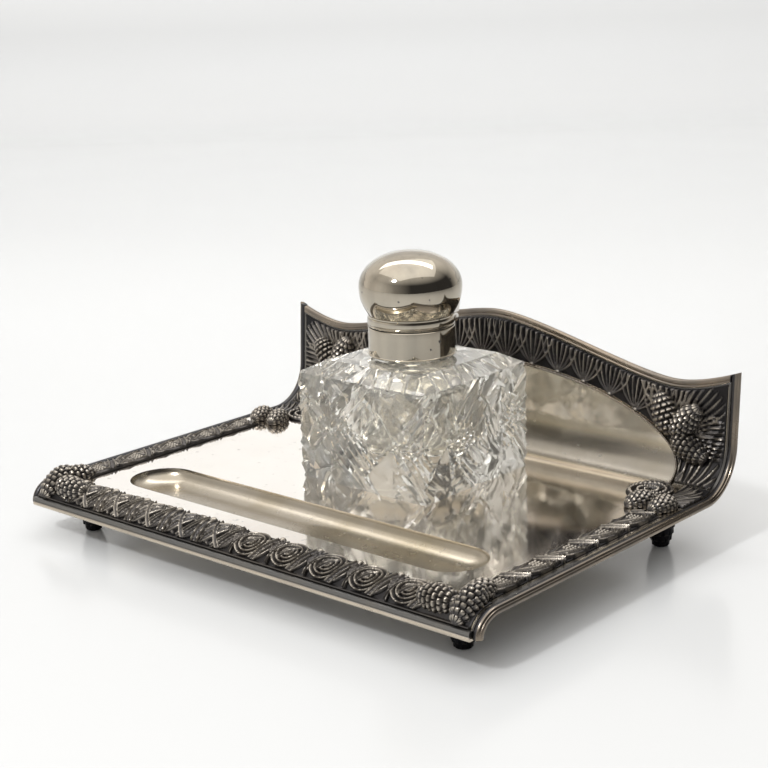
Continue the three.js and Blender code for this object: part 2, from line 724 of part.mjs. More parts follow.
function domeLid() {
  const outer = turned([[0, domeZ], ...domeOutline(0)]);
  const inner = turned([[0, domeZ - 1], [domeWaist - DOME_WALL, domeZ - 1], ...domeOutline(-DOME_WALL)]);
  return outer.subtract(inner).translate([0, -hingeY, 0]);
}

function bezel() {
  const inner = collarRadius - BEZEL_WALL;
  const step = 0.5;
  return turned([
    [inner, lidZ],
    [collarRadius, lidZ],
    [collarRadius, domeZ - 2 * step],
    [collarRadius - step, domeZ - step],
    [collarRadius - step, domeZ],
    [inner, domeZ],
    [inner, lidZ],
  ]).translate([0, -hingeY, 0]);
}

const pinHalf = hingeHalf + PIN_PROUD;
const pin = () => barrel(-pinHalf, pinHalf, PIN_RADIUS, SMALL_ROUND);

const tray = new THREE.Group();
tray.add(
  piece("tray_sheet", traySheet(), POLISHED),
  piece("rim_front", frontRim(), POLISHED),
  piece("rim_top", topRim(), POLISHED),
  piece("border_front", frontBorder(), OXIDISED),
  piece("border_back", backBorder(), OXIDISED),
  piece("arch_bead", archBead(), POLISHED),
);
for (const [side, turn] of [
  ["right", (body) => body],
  ["left", mirrored],
]) {
  tray.add(
    piece("rim_" + side, turn(sideRim()), POLISHED),
    piece("border_" + side, turn(sideBorder()), OXIDISED),
    piece("cones_front_" + side, turn(frontCones()), OXIDISED),
    piece("cones_back_" + side, turn(backCones()), OXIDISED),
    piece("scroll_" + side, turn(cornerScroll()), OXIDISED),
  );
  for (const [end, footY] of [
    ["front", frontY + FRONT_FOOT],
    ["back", coveY - BACK_FOOT],
  ]) {
    const standing = piece("foot_" + end + "_" + side, foot(), BLACKENED);
    const fromMiddle = halfWidth - FOOT_FROM_EDGE;
    standing.position.set(side === "right" ? fromMiddle : -fromMiddle, footY, 0);
    tray.add(standing);
  }
}

const lid = new THREE.Group();
lid.position.set(0, hingeY, hingeZ);
lid.add(
  piece("lid_bezel", bezel(), POLISHED),
  piece("lid_dome", domeLid(), POLISHED),
  piece("lid_hinge_leaf", lidLeaf(), POLISHED),
);

const hinge = new THREE.Group();
hinge.position.copy(lid.position);
hinge.add(
  piece("collar_hinge_leaf", collarLeaf(), POLISHED),
  piece("hinge_pin", pin(), POLISHED),
);

const bottle = new THREE.Group();
bottle.position.set(0, bottleY, FIELD_TOP);
bottle.add(
  piece("glass_bottle", glassBottle(), GLASS),
  piece("collar", collar(), POLISHED),
  piece("cement_ring", cementRing(), PLASTER),
  hinge,
  lid,
);

const inkstand = new THREE.Group();
inkstand.add(tray, bottle);

export default inkstand;
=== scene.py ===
import math

import bmesh
import bpy
import numpy as np
from bpy.props import FloatProperty, FloatVectorProperty, IntProperty, PointerProperty
from mathutils import Matrix, Vector


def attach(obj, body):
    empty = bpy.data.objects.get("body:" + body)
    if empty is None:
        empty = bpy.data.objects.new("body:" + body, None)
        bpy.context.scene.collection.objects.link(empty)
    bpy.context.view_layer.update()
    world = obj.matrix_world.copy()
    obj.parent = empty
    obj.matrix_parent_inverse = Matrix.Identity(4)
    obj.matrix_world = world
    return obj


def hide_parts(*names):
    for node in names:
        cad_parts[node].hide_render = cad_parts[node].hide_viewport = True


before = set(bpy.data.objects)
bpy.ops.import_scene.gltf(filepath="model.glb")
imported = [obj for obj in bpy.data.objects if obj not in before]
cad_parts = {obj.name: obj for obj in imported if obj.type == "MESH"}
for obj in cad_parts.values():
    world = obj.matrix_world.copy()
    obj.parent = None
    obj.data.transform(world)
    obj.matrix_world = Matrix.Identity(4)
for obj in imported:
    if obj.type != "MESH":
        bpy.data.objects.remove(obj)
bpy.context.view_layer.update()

bl_info = {
    "name": "Silver Inkstand",
    "version": (1, 0, 0),
    "blender": (4, 5, 0),
    "location": "3D View > Sidebar > Inkstand",
    "description": "Dresses the packed inkstand with its formed tray, cast borders and cut glass",
    "category": "Object",
}

MM = 0.001
WELD, SEAM_WELD = 0.000002, 0.00002
EDGE = 1e-4
TURN = 2 * math.pi

# The tray's section and outline, millimetres in the frame's axes
HALF_WIDTH = 120.0
FIELD_TOP = 21.3
SHEET = 1.5
SHEET_EDGE = 116.6
FLANGE_Y, FLANGE_Z = -72.0, 13.0
FLANGE_RUN, FLANGE_DROP = 11.0, 8.3
COVE_RADIUS = 19.0
LEAN = math.radians(3.5)
SWEEP = math.pi / 2 - LEAN
COVE_Z = FIELD_TOP + COVE_RADIUS
COVE_Y = 61.138
PEAK_Z, DIP_Z, HORN_Z = 79.9, 62.4, 69.0
DIP_X = 91.5
TOP_RIM = 3.2
LIP_FOOT = 12.2
ARCH_HALF, ARCH_RISE = 97.2, 36.4
SOLDER = 0.1
BORDER_HALF = 115.4
BORDER_START = math.radians(17)
BORDER_INNER_Y = -70.5
SIDE_OUTER, SIDE_INNER = 113.5, 103.0
SIDE_FRONT_Y, SIDE_BACK_Y = -70.3, 34.538

# The pen trough
TROUGH_Y = -46.0
TROUGH_END = 91.7
TROUGH_HALF = 14.05
TROUGH_DEPTH = 5.6
TROUGH_WALL = 9.0
# Where the trough's frame ends, and the share of the rear grid's rows that lie on the field
FIELD_BREAK_Y = -20.0
FLAT_SHARE = 0.28

# The bottle, from its own base
BOTTLE_Y = 25.388
BOTTLE_HALF = 33.85
BOTTLE_BODY = 44.7
BOTTLE_CORNER = 5.0
SHOULDER_Z = 49.3
SHOULDER_RUN = 9.0
NECK_RADIUS, BORE_RADIUS = 15.6, 11.5
LIP_Z = 61.7
COLLAR_Z, COLLAR_TOP_Z = 50.9, 62.6
BEZEL_Z, DOME_Z = 63.0, 67.4
DOME_RADIUS, DOME_WAIST = 21.3, 17.4
DOME_BELLY, DOME_HEIGHT = 11.5, 26.0

# The camera: its turns, its lens in millimetres and its place in metres
AZIMUTH, ELEVATION, ROLL = (math.radians(turn) for turn in (41.87, 14.81, 1.76))
LENS = 77.9
CAMERA_AT = (0.4356, -0.4786, 0.2350)

# The floor along the camera's heading, where its backdrop bends up
FLOOR_NEAR, FLOOR_FAR, FLOOR_RUN = -1500.0, 1500.0, 4200.0
FLOOR_BEND, FLOOR_HALF = 700.0, 2600.0

# Finishes paired with the slot of the polished silver
SLOT_OF = dict.fromkeys(("rim_silver", "lip_silver", "lid_silver"), "polished_silver")


# ---------------------------------------------------------------- mesh helpers


def unit(value):
    """The value held between 0 and 1."""
    return np.clip(value, 0, 1)


def read(obj):
    """The piece's vertices in millimetres."""
    flat = np.empty(len(obj.data.vertices) * 3)
    obj.data.vertices.foreach_get("co", flat)
    return flat.reshape(-1, 3) / MM


def write(obj, points):
    """Moves the piece's vertices to points in millimetres."""
    obj.data.vertices.foreach_set("co", (np.asarray(points) * MM).ravel())
    obj.data.update()


def only(obj):
    """Leaves one object selected and active."""
    bpy.ops.object.select_all(action="DESELECT")
    obj.select_set(True)
    bpy.context.view_layer.objects.active = obj


def name_it(obj, name):
    obj.name = obj.data.name = name
    return obj


def grid(name, across, along, place):
    """A grid laid out by place(u, v), both from 0 to 1, as x, y, z in millimetres."""
    bpy.ops.object.select_all(action="DESELECT")
    bpy.ops.mesh.primitive_grid_add(x_subdivisions=across, y_subdivisions=along, size=2)
    obj = name_it(bpy.context.object, name)
    flat = read(obj) * MM
    u, v = (flat[:, 0] + 1) / 2, (flat[:, 1] + 1) / 2
    write(obj, np.stack(np.broadcast_arrays(*place(u, v)), 1))
    return obj, u, v


def outward(obj, weld=0.0, fill=False):
    """Welds near vertices and closes open ends if asked, and turns every face outward."""
    only(obj)
    bpy.ops.object.mode_set(mode="EDIT")
    bpy.ops.mesh.select_all(action="SELECT")
    if weld:
        bpy.ops.mesh.remove_doubles(threshold=weld)
    if fill:
        bpy.ops.mesh.select_all(action="SELECT")
        bpy.ops.mesh.fill_holes(sides=0)
        bpy.ops.mesh.select_all(action="SELECT")
    bpy.ops.mesh.normals_make_consistent(inside=False)
    bpy.ops.object.mode_set(mode="OBJECT")
    return obj


def wrapped(name, profile, along, place):
    """A closed profile of [a, b] points swept by place(a, b, v)."""
    ring = np.array(profile + profile[:1], float)
    count = len(ring) - 1

    def lay(u, v):
        step = u * count
        return place(
            np.interp(step, np.arange(count + 1), ring[:, 0]),
            np.interp(step, np.arange(count + 1), ring[:, 1]),
            v,
        )

    return outward(grid(name, count, along, lay)[0], WELD, fill=True)


def turned(name, profile, centre, steps=96):
    """A profile of [radius, height] points, open at the axis or a closed ring, turned about Z."""

    def place(radius, height, v):
        turn = v * TURN
        x, y, z = centre
        return x + radius * np.cos(turn), y + radius * np.sin(turn), z + height

    return wrapped(name, profile, steps, place)


def smooth(obj, degrees=35):
    only(obj)
    bpy.ops.object.shade_smooth_by_angle(angle=math.radians(degrees))
    return obj


def apply(obj, kind, **settings):
    """Adds a modifier and applies it."""
    only(obj)
    modifier = obj.modifiers.new(kind.title(), kind)
    for key, value in settings.items():
        setattr(modifier, key, value)
    bpy.ops.object.modifier_apply(modifier=modifier.name)
    return obj


def attribute(obj, name, values):
    """Keeps one number for each vertex, for the finish to read."""
    store = obj.data.attributes.new(name, "FLOAT", "POINT")
    store.data.foreach_set("value", np.asarray(values, dtype=np.float32))


def raised(name, across, along, place, height):
    """A closed band on the tray's face: place(u, v, lift), its upper side raised by height(u, v)."""
    obj, u, v = grid(name, across, along, lambda u, v: place(u, v, SOLDER))
    base = read(obj)
    apply(obj, "SOLIDIFY", thickness=0.4 * MM, offset=1)
    shell = read(obj)
    count = len(base)
    index = np.arange(len(shell)) % count
    upper = np.linalg.norm(shell - base[index], axis=1) > 0.05
    level, lift = height(u, v)
    moved = np.stack(np.broadcast_arrays(*place(u, v, lift)), 1)
    shell[upper] = moved[index[upper]]
    write(obj, shell)
    attribute(obj, "relief", np.where(upper, level[index], 0))
    return smooth(outward(obj), 50)


def copy_of(obj, name):
    """A copy with its own mesh."""
    twin = obj.copy()
    twin.data = obj.data.copy()
    bpy.context.collection.objects.link(twin)
    return name_it(twin, name)


def mirror_of(obj, name):
    """A copy on the other side of the tray, turned the right way out."""
    twin = copy_of(obj, name)
    points = read(twin)
    points[:, 0] *= -1
    write(twin, points)
    only(twin)
    bpy.ops.object.mode_set(mode="EDIT")
    bpy.ops.mesh.select_all(action="SELECT")
    bpy.ops.mesh.flip_normals()
    bpy.ops.object.mode_set(mode="OBJECT")
    return twin


def joined(name, parts):
    """Several objects made into one."""
    bpy.ops.object.select_all(action="DESELECT")
    for part in parts:
        part.select_set(True)
    bpy.context.view_layer.objects.active = parts[0]
    bpy.ops.object.join()
    return name_it(parts[0], name)


def paint(obj, kind):
    obj.data.materials.clear()
    obj.data.materials.append(finish_of(kind))


def finish_piece(obj, kind, node, body="tray"):
    """Gives a finished piece its material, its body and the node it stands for."""
    paint(obj, kind)
    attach(obj, body)
    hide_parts(node)
    return obj


def finish_pair(right, kind, node):
    """Finishes a right-hand piece of the tray and its mirror image."""
    left = mirror_of(right, right.name.replace("right", "left"))
    finish_piece(right, kind, node + "_right")
    finish_piece(left, kind, node + "_left")


# ---------------------------------------------------------------- the tray's face


def flange(turn, lift):
    """The rolled front at a turn above its lip."""
    return (
        FLANGE_Y - (FLANGE_RUN + lift) * np.cos(turn),
        FLANGE_Z + (FLANGE_DROP + lift) * np.sin(turn),
    )


def back_face(reach, lift):
    """The cove and the back, by the distance up its face from the edge of the field."""
    turn = np.clip(reach / COVE_RADIUS, 0, SWEEP)
    past = np.maximum(reach - COVE_RADIUS * SWEEP, 0)
    radius = COVE_RADIUS - lift
    return (
        COVE_Y + radius * np.sin(turn) + past * math.sin(LEAN),
        COVE_Z - radius * np.cos(turn) + past * math.cos(LEAN),
    )


def rear_place(x, y, lift):
    """A point over the field, or as far up the cove as it lies past the field's edge."""
    up_y, z = back_face(y - COVE_Y, lift)
    return x, up_y + np.minimum(y - COVE_Y, 0), z


def reach_of(z):
    """The distance up the back's face at a height."""
    cove_end = COVE_Z - COVE_RADIUS * math.cos(SWEEP)
    turn = np.arccos(np.clip((COVE_Z - z) / COVE_RADIUS, math.cos(SWEEP), 1))
    return COVE_RADIUS * turn + np.maximum(z - cove_end, 0) / math.cos(LEAN)


def bezier(a, b, c, d, t):
    return a * (1 - t) ** 3 + 3 * b * t * (1 - t) ** 2 + 3 * c * t * t * (1 - t) + d * t**3


def crest_curve():
    """The back's upper edge on its right half, as x and height."""
    t = np.linspace(0, 1, 60)
    past = HALF_WIDTH - DIP_X
    mid = DIP_Z + (HORN_Z - DIP_Z) * 0.55
    x = [bezier(0, DIP_X * 0.24, DIP_X * 0.79, DIP_X, t)]
    z = [bezier(PEAK_Z, PEAK_Z, DIP_Z, DIP_Z, t)]
    x.append(bezier(DIP_X, DIP_X + past * 0.33, DIP_X + past * 0.72, HALF_WIDTH, t[1:]))
    z.append(bezier(DIP_Z, DIP_Z, mid, HORN_Z, t[1:]))
    return np.concatenate(x), np.concatenate(z)


CREST = crest_curve()


def crest(x):
    return np.interp(np.abs(x), *CREST)


def arch(x, grow=0.0):
    """The height of the arch's line, or of the field past its ends."""
    across = unit(np.abs(x) / (ARCH_HALF + grow))
    return FIELD_TOP + (ARCH_RISE + grow) * np.sqrt(1 - across**2)


# ---------------------------------------------------------------- relief patterns


def ridge(value, centre, width):
    return np.exp(-(((value - centre) / width) ** 2))


class Relief:
    """Heights from 0 to 1 over a flat pattern, laid shape over shape."""

    def __init__(self, x, y, ground=0.0):
        self.x, self.y = x, y
        self.h = np.full_like(x, ground)

    def frame(self, root, tip):
        """Along from root to tip as 0 to 1, across to the left, and the length."""
        dx, dy = tip[0] - root[0], tip[1] - root[1]
        length = math.hypot(dx, dy)
        px, py = self.x - root[0], self.y - root[1]
        return (px * dx + py * dy) / length**2, (py * dx - px * dy) / length, length

    def lay(self, inside, height):
        self.h = np.where(inside, height, self.h)

    def lift(self, inside, height):
        self.h = np.where(inside, np.maximum(self.h, height), self.h)

    def cast(self, u, v, foot, base, rise):
        """The relief and its lift over the tray, with the casting's outer edge held down."""
        level = unit(self.h)
        edge = (np.minimum(u, v) < EDGE) | (np.maximum(u, v) > 1 - EDGE)
        return level, SOLDER + np.where(edge, foot, base + rise * level)

    def bent(self, root, tip, bend):
        """The frame of a stroke that bows to one side."""
        t, n, length = self.frame(root, tip)
        return t, n - bend * length * 4 * t * (1 - t), length

    def leaf(self, root, tip, width, bend=0.0, top=1.0, veins=0.1, fine=2.2):
        t, n, length = self.bent(root, tip, bend)
        half = width / 2 * np.sin(math.pi * unit(t) ** 0.8) + 1e-6
        q = n / half
        inside = (t > 0) & (t < 1) & (np.abs(q) < 1)
        line = np.maximum(ridge(np.abs(q), 0.82, 0.17), ridge(n, 0, 0.28))
        vein = 0.55 * np.cos(TURN * (t * length - 1.3 * np.abs(n)) / fine) * (1 - np.abs(q))
        dome = np.sqrt(unit(1 - q * q))
        self.lay(inside, top * (0.3 + 0.22 * dome + 0.48 * line) + veins * vein)

    def needle(self, root, tip, width, bend=0.0, top=1.0):
        t, n, length = self.bent(root, tip, bend)
        half = width / 2 * (0.35 + 1.1 * unit(t)) * np.sqrt(unit(1.02 - t)) + 1e-6
        q = np.abs(n / half)
        inside = (t > 0) & (t < 1) & (q < 1)
        crest_line = 0.82 + 0.18 * ridge(q, 0.5, 0.3)
        self.lift(inside, top * (0.72 + 0.28 * unit(t)) * crest_line * (1 - 0.8 * q**3))

    def strap(self, root, tip, width, bend=0.0, top=0.9, beaded=0.0):
        t, n, length = self.bent(root, tip, bend)
        q = np.abs(n) / (width / 2)
        inside = (t > 0) & (t < 1) & (q < 1)
        body = top * (0.42 + 0.58 * ridge(q, 0.7, max(0.2, 0.36 / (width / 2))))
        beads = beaded * ridge(q, 0, 0.3) * np.cos(TURN * t * length / 1.5)
        self.lay(inside, body + beads)

    def loops(self, centre, long, wide, turn, count, top=0.95):
        c, s = math.cos(turn), math.sin(turn)
        px, py = self.x - centre[0], self.y - centre[1]
        a, b = (px * c + py * s) / long, (py * c - px * s) / wide
        r = np.hypot(a, b)
        self.lay(r < 1, top * (0.56 + 0.44 * np.cos(TURN * (r - 0.93) * count)))

    def bead(self, centre, radius, top=1.0):
        r = np.hypot(self.x - centre[0], self.y - centre[1]) / radius
        self.lay(r < 1, top * np.sqrt(unit(1.1 - r * r)))

    def fan(self, root, heading, spread, count, length, width, top=1.0, draw=0.25, curl=0.14):
        """Needles from one root, the middle one along the heading."""
        for i in range(count):
            share = i / (count - 1) * 2 - 1
            order = heading + share * spread
            reach = length * (1 - draw * share * share)
            tip = (root[0] + reach * math.cos(order), root[1] + reach * math.sin(order))
            start = (root[0] + 1.2 * math.cos(order), root[1] + 1.2 * math.sin(order))
            self.needle(start, tip, width, bend=curl * share, top=top * (1 - 0.12 * (i % 2)))


FLANGE_TURNS = np.linspace(BORDER_START, math.pi / 2, 120)
FLANGE_STEPS = np.hypot(*[np.diff(part) for part in flange(FLANGE_TURNS, 0.0)])
FLANGE_ARC = np.concatenate([[0], np.cumsum(FLANGE_STEPS)])
FRONT_WIDTH = FLANGE_ARC[-1] + BORDER_INNER_Y - FLANGE_Y


def front_place(u, v, lift):
    """The front border's face: over the rolled front, then along the field."""
    x = (u * 2 - 1) * BORDER_HALF
    reach = v * FRONT_WIDTH
    turn = np.interp(reach, FLANGE_ARC, FLANGE_TURNS)
    y, z = flange(turn, lift)
    y = y + np.maximum(reach - FLANGE_ARC[-1], 0)
    return x, y, z


def front_height(rise):
    low, high, pitch = 1.5, FRONT_WIDTH - 0.7, 19.4

    def height(u, v):
        x, y = (u * 2 - 1) * BORDER_HALF, v * FRONT_WIDTH
        r = Relief(x, y, 0.1)
        r.h = r.h + 0.03 * np.cos(TURN * x / 0.9) * np.cos(TURN * y / 0.9)
        for place in range(-5, 5):
            c = (place + 0.5) * pitch
            if c < 0:
                r.leaf((c - 7.6, high - 0.4), (c - 1.5, low), 6.0, -0.16, 0.78, 0.14, 1.5)
                r.leaf((c + 3.2, low), (c + 8.6, high - 0.8), 5.0, -0.12, 0.8, 0.14, 1.4)
                r.leaf((c - 6.4, low + 0.2), (c + 7.6, high - 0.4), 7.4, 0.15, 0.95, 0.16, 1.7)
                r.strap((c + 7.6, high), (c + 0.2, low), 2.0, 0.07, 0.95)
                r.strap((c - 5.8, high), (c + 3.8, low), 2.0, -0.06, 0.9)
                r.leaf((c + 0.4, high - 0.2), (c + 4.6, high - 5.2), 3.0, 0.1, 0.85, 0.1, 1.3)
                r.strap((c - 9.0, low - 0.3), (c - 9.9, high), 4.2, 0.02, 1.0, 0.16)
                r.bead((c - 9.9, high - 0.3), 1.9)
            else:
                r.leaf((c + 3.0, low), (c + 12.4, high - 0.6), 6.4, 0.1, 0.85, 0.2, 1.2)
                r.leaf((c - 9.6, high - 0.2), (c - 4.2, low + 0.6), 4.6, -0.16, 0.75, 0.16, 1.3)
                r.loops((c - 1.8, (low + high) / 2), 7.4, 5.7, 0.3, 4)
                r.leaf((c - 5.4, low + 2.6), (c + 1.6, high - 2.8), 3.0, 0.12, 0.95, 0.0, 2)
                r.strap((c + 2.2, low - 0.3), (c + 8.4, high), 3.0, -0.05, 1.0, 0.1)
                r.strap((c - 9.2, low), (c - 6.2, high - 3), 1.6, 0.1, 0.8)
                r.bead((c + 8.4, high - 0.4), 1.5)
        r.lay(y < 1.25, 0.7 * ridge(y, 0.75, 0.4))
        return r.cast(u, v, 0.15, 0.15, rise - 0.25)

    return height


def side_place(u, v, lift):
    """The right border: across from its inner edge, along from the front."""
    x = SIDE_INNER + u * (SIDE_OUTER - SIDE_INNER)
    return x, SIDE_FRONT_Y + v * (SIDE_BACK_Y - SIDE_FRONT_Y), FIELD_TOP + lift


def side_height(rise):
    width, length = SIDE_OUTER - SIDE_INNER, SIDE_BACK_Y - SIDE_FRONT_Y

    def height(u, v):
        x, y = u * width, v * length
        r = Relief(x, y, 0.08)
        step = 20.5
        for place in range(-1, 7):
            c = place * step + 1
            r.leaf((9.8, c + 9), (4.2, c + 21), 4.6, 0.1, 0.75, 0.14, 1.3)
            r.leaf((8.9, c - 5), (1.6, c + 21), 6.0, 0.1, 0.9, 0.06, 2.4)
            for k in range(12):
                r.bead((3.0 + 1.5 * (k % 4), c + 12.0 + 1.5 * (k // 4)), 0.95, 0.9)
            r.leaf((1.8, c + 1), (9.6, c + 19), 5.6, -0.12, 1.0, 0.05, 2.4)
            r.leaf((9.9, c - 2), (7.2, c + 10), 3.0, 0.12, 0.85, 0.12, 1.3)
            r.strap((0.6, c - 3.6), (10.2, c + 3.2), 3.6, 0.05, 1.0, 0.2)
        r.lay(x < 0.5, 0.3)
        return r.cast(u, v, 0.2, 0.15, rise - 0.25)

    return height


def back_span(x):
    """How far up the back's face its border starts and ends."""
    low = reach_of(np.maximum(arch(x, 1.6), FIELD_TOP + 1.9))
    return low, reach_of(crest(x) - TOP_RIM - 0.6)


def back_place(u, v, lift):
    """The back border: between the arch's line and the top rim."""
    x = (u * 2 - 1) * BORDER_HALF
    low, high = back_span(x)
    y, z = back_face(low + v * (high - low), lift)
    return x, y, z


def back_height(rise):
    def height(u, v):
        x = (u * 2 - 1) * BORDER_HALF
        low, high = back_span(x)
        y = low + v * (high - low)
        r = Relief(x, y, 0.05)
        line = np.linspace(-0.93, 0.93, 400) * ARCH_HALF
        rise_line = reach_of(arch(line, 1.0))
        path = np.concatenate([[0], np.cumsum(np.hypot(np.diff(line), np.diff(rise_line)))])
        pitch = 13.6
        tufts = int(path[-1] / pitch)
        start = (path[-1] - tufts * pitch) / 2
        for i in range(tufts + 1):
            at = start + i * pitch
            bx = float(np.interp(at, path, line))
            by = float(np.interp(at, path, rise_line))
            room = float(back_span(bx)[1]) - by
            slope = float(np.interp(at + 1, path, rise_line) - np.interp(at - 1, path, rise_line)) / 2
            heading = math.pi / 2 + 0.5 * math.atan(slope)
            r.fan((bx, by), heading, 0.56, 8, room * 1.12, 2.1, 1.0, -0.1)
            r.bead((bx, by + 0.5), 1.5, 0.9)
        for side in (-1, 1):
            hub = (side * 92.5, float(reach_of(39.8)))
            for turn, reach in ((0.25, 27.0), (-0.65, 26.0), (-1.5, 22.0)):
                spray = (hub[0] - side * 6 * math.sin(turn), hub[1] + 6 * math.cos(turn))
                r.fan(spray, math.pi / 2 + side * turn, 0.5, 9, reach - 4, 2.3, 1.0, 0.0)
            foot = (side * 104.0, 1.0)
            r.fan(foot, math.pi / 2 - side * 0.25, 0.9, 12, 22.0, 2.2, 1.0, 0.2)
            r.leaf((side * 99.8, 2.0), (side * 101.0, 16.0), 4.0, 0.1, 0.8, 0.1, 1.6)
        r.h = r.h * unit((BORDER_HALF - np.abs(x)) / 0.9)
        r.h = r.h * unit((high - y) / 0.7)
        return r.cast(u, v, 0.12, 0.12, rise - 0.2)

    return height


# ---------------------------------------------------------------- finishes


class Value:
    """A socket whose arithmetic adds Math nodes."""

    def __init__(self, finish, socket):
        self.finish, self.socket = finish, socket

    def math(self, operation, *values):
        return self.finish.node("ShaderNodeMath", {"operation": operation}, dict(enumerate(values)))

    def __add__(self, other):
        return self.math("ADD", self, other)

    def __sub__(self, other):
        return self.math("SUBTRACT", self, other)

    def __rsub__(self, other):
        return self.math("SUBTRACT", other, self)

    def __mul__(self, other):
        return self.math("MULTIPLY", self, other)

    def absolute(self):
        return self.math("ABSOLUTE", self)

    def clamp(self):
        return self.finish.node("ShaderNodeClamp", {}, {0: self})

    __radd__ = __add__
    __rmul__ = __mul__


class Finish:
    """A material built node by node around its Principled shader."""

    def __init__(self, name):
        self.material = bpy.data.materials.new(name)
        self.material.use_nodes = True
        self.tree = self.material.node_tree
        self.shader = next(n for n in self.tree.nodes if n.type == "BSDF_PRINCIPLED")

    def feed(self, socket, value):
        if isinstance(value, Value):
            self.tree.links.new(value.socket, socket)
        elif socket.type == "RGBA":
            socket.default_value = (*value, 1)
        else:
            socket.default_value = value

    def node(self, kind, settings, feeds, output=0):
        made = self.tree.nodes.new(kind)
        for key, value in settings.items():
            if key == "stops":
                ramp = made.color_ramp
                while len(ramp.elements) < len(value):
                    ramp.elements.new(0.5)
                for element, (at, shade) in zip(ramp.elements, value):
                    element.position = at
                    element.color = (shade, shade, shade, 1)
            else:
                setattr(made, key, value)
        for key, value in feeds.items():
            self.feed(made.inputs[key], value)
        return Value(self, made.outputs[output])

    def place(self, scale=(1, 1, 1)):
        coords = self.node("ShaderNodeTexCoord", {}, {}, "Object")
        return self.node("ShaderNodeMapping", {}, {"Vector": coords, "Scale": scale})

    def noise(self, scale, detail=3.0, stretch=(1, 1, 1)):
        feeds = {"Vector": self.place(stretch), "Scale": scale, "Detail": detail, "Roughness": 0.55}
        return self.node("ShaderNodeTexNoise", {}, feeds, "Fac")

    def steps(self, value, *stops):
        return self.node("ShaderNodeValToRGB", {"stops": stops}, {"Fac": value})

    def mix(self, mask, a, b):
        return self.node("ShaderNodeMix", {"data_type": "RGBA"}, {0: mask, 6: a, 7: b}, 2)

    def relief(self):
        return self.node("ShaderNodeAttribute", {"attribute_name": "relief"}, {}, "Fac")

    def bump(self, height, strength, distance):
        feeds = {"Height": height, "Strength": strength, "Distance": distance}
        return self.node("ShaderNodeBump", {}, feeds)

    def set(self, **values):
        for key, value in values.items():
            self.feed(self.shader.inputs[key.replace("_", " ")], value)
        return self.material

    def metal(self, colour, rough, bumps):
        return self.set(Base_Color=colour, Metallic=1.0, Roughness=rough, Normal=bumps)


class Sky(Finish):
    """The studio's surround, made with the same nodes."""

    def __init__(self, world):
        self.material = world
        self.tree = world.node_tree
        self.shader = self.tree.nodes["Background"]

    def along(self, direction):
        """How far a direction of view agrees with another, from -1 to 1."""
        coords = self.node("ShaderNodeTexCoord", {}, {}, "Generated")
        feeds = {0: coords, 1: direction}
        return self.node("ShaderNodeVectorMath", {"operation": "DOT_PRODUCT"}, feeds, "Value")


def polished_silver(f, colours):
    """The tray's polished silver, duller and browner in the trough and up the back, with painted shade
    darkening the trough, the foot of the cove and the strips beside the rims.
    """
    dull = f.relief().clamp()
    # Relief over 1 marks painted shade: the trough, the foot of the cove and the strips beside the rims.
    black = (f.relief() - 1.0).clamp()
    cloud = f.steps(f.noise(26.0, 4.0), (0.42, 0.0), (0.72, 1.0))
    spots = f.steps(f.noise(240.0, 2.0), (0.66, 0.0), (0.74, 1.0))
    fine = f.noise(900.0, 2.0, (1, 0.06, 1))
    wear = f.noise(60.0, 3.0, (0.3, 1, 1))
    silver = f.mix(cloud * 0.3, colours.silver, colours.tarnish)
    worn = f.mix(dull * (0.7 + 0.3 * cloud), silver, colours.khaki)
    # This dark mix is painted shade.
    dark = f.mix(black * (1.3 + 0.8 * wear), worn, (0.11, 0.105, 0.10))
    colour = f.mix(spots * 0.25, dark, colours.oxide)
    rough = 0.045 + 0.04 * cloud + 0.04 * wear + 0.1 * spots + 0.17 * dull * dull
    bumps = f.bump(fine + 0.6 * wear, 0.04, 0.0002)
    return f.metal(colour, rough, bumps)


def lid_silver(f, colours):
    """The lid's and collar's silver: grey streaks, brown clouds and small dark specks."""
    streak = f.steps(f.noise(90.0, 3.0, (1, 1, 0.12)), (0.4, 0.0), (0.68, 1.0))
    cloud = f.steps(f.noise(55.0, 4.0), (0.45, 0.0), (0.75, 1.0))
    specks = f.steps(f.noise(360.0, 1.0), (0.73, 0.0), (0.77, 1.0))
    base = f.mix(streak * 0.5, (0.49, 0.445, 0.365), (0.28, 0.265, 0.23))
    worn = f.mix(cloud * 0.45, base, (0.34, 0.27, 0.20))
    colour = f.mix(specks * 0.8, worn, colours.oxide)
    rough = 0.05 + 0.08 * cloud + 0.05 * streak + 0.2 * specks
    return f.metal(colour, rough, f.bump(streak, 0.03, 0.0002))


def rim_silver(f, colours):
    """Silver that has browned along the mouldings, with painted shade in blue-black along their inner side.
    """
    across = f.node("ShaderNodeSeparateXYZ", {}, {"Vector": f.place()}, "X").absolute()
    # Painted shade: a blue-black band along the mouldings' inner side, beside the gap to the sheet.
    inner = f.steps((across - SHEET_EDGE * MM) * 400.0, (0.64, 1.0), (0.8, 0.0))
    inner = inner * f.steps((across - (SHEET_EDGE - 0.6) * MM) * 4000.0, (0.0, 0.0), (1.0, 1.0))
    cloud = f.steps(f.noise(38.0, 4.0), (0.35, 0.0), (0.7, 1.0))
    streak = f.noise(500.0, 3.0, (0.2, 0.2, 1))
    base = f.mix(cloud * 0.7, (0.30, 0.25, 0.195), (0.10, 0.10, 0.10))
    colour = f.mix(inner * 0.9, base, (0.045, 0.048, 0.056))
    rough = 0.2 + 0.14 * cloud + 0.06 * streak + 0.12 * inner
    return f.metal(colour, rough, f.bump(streak, 0.05, 0.0002))


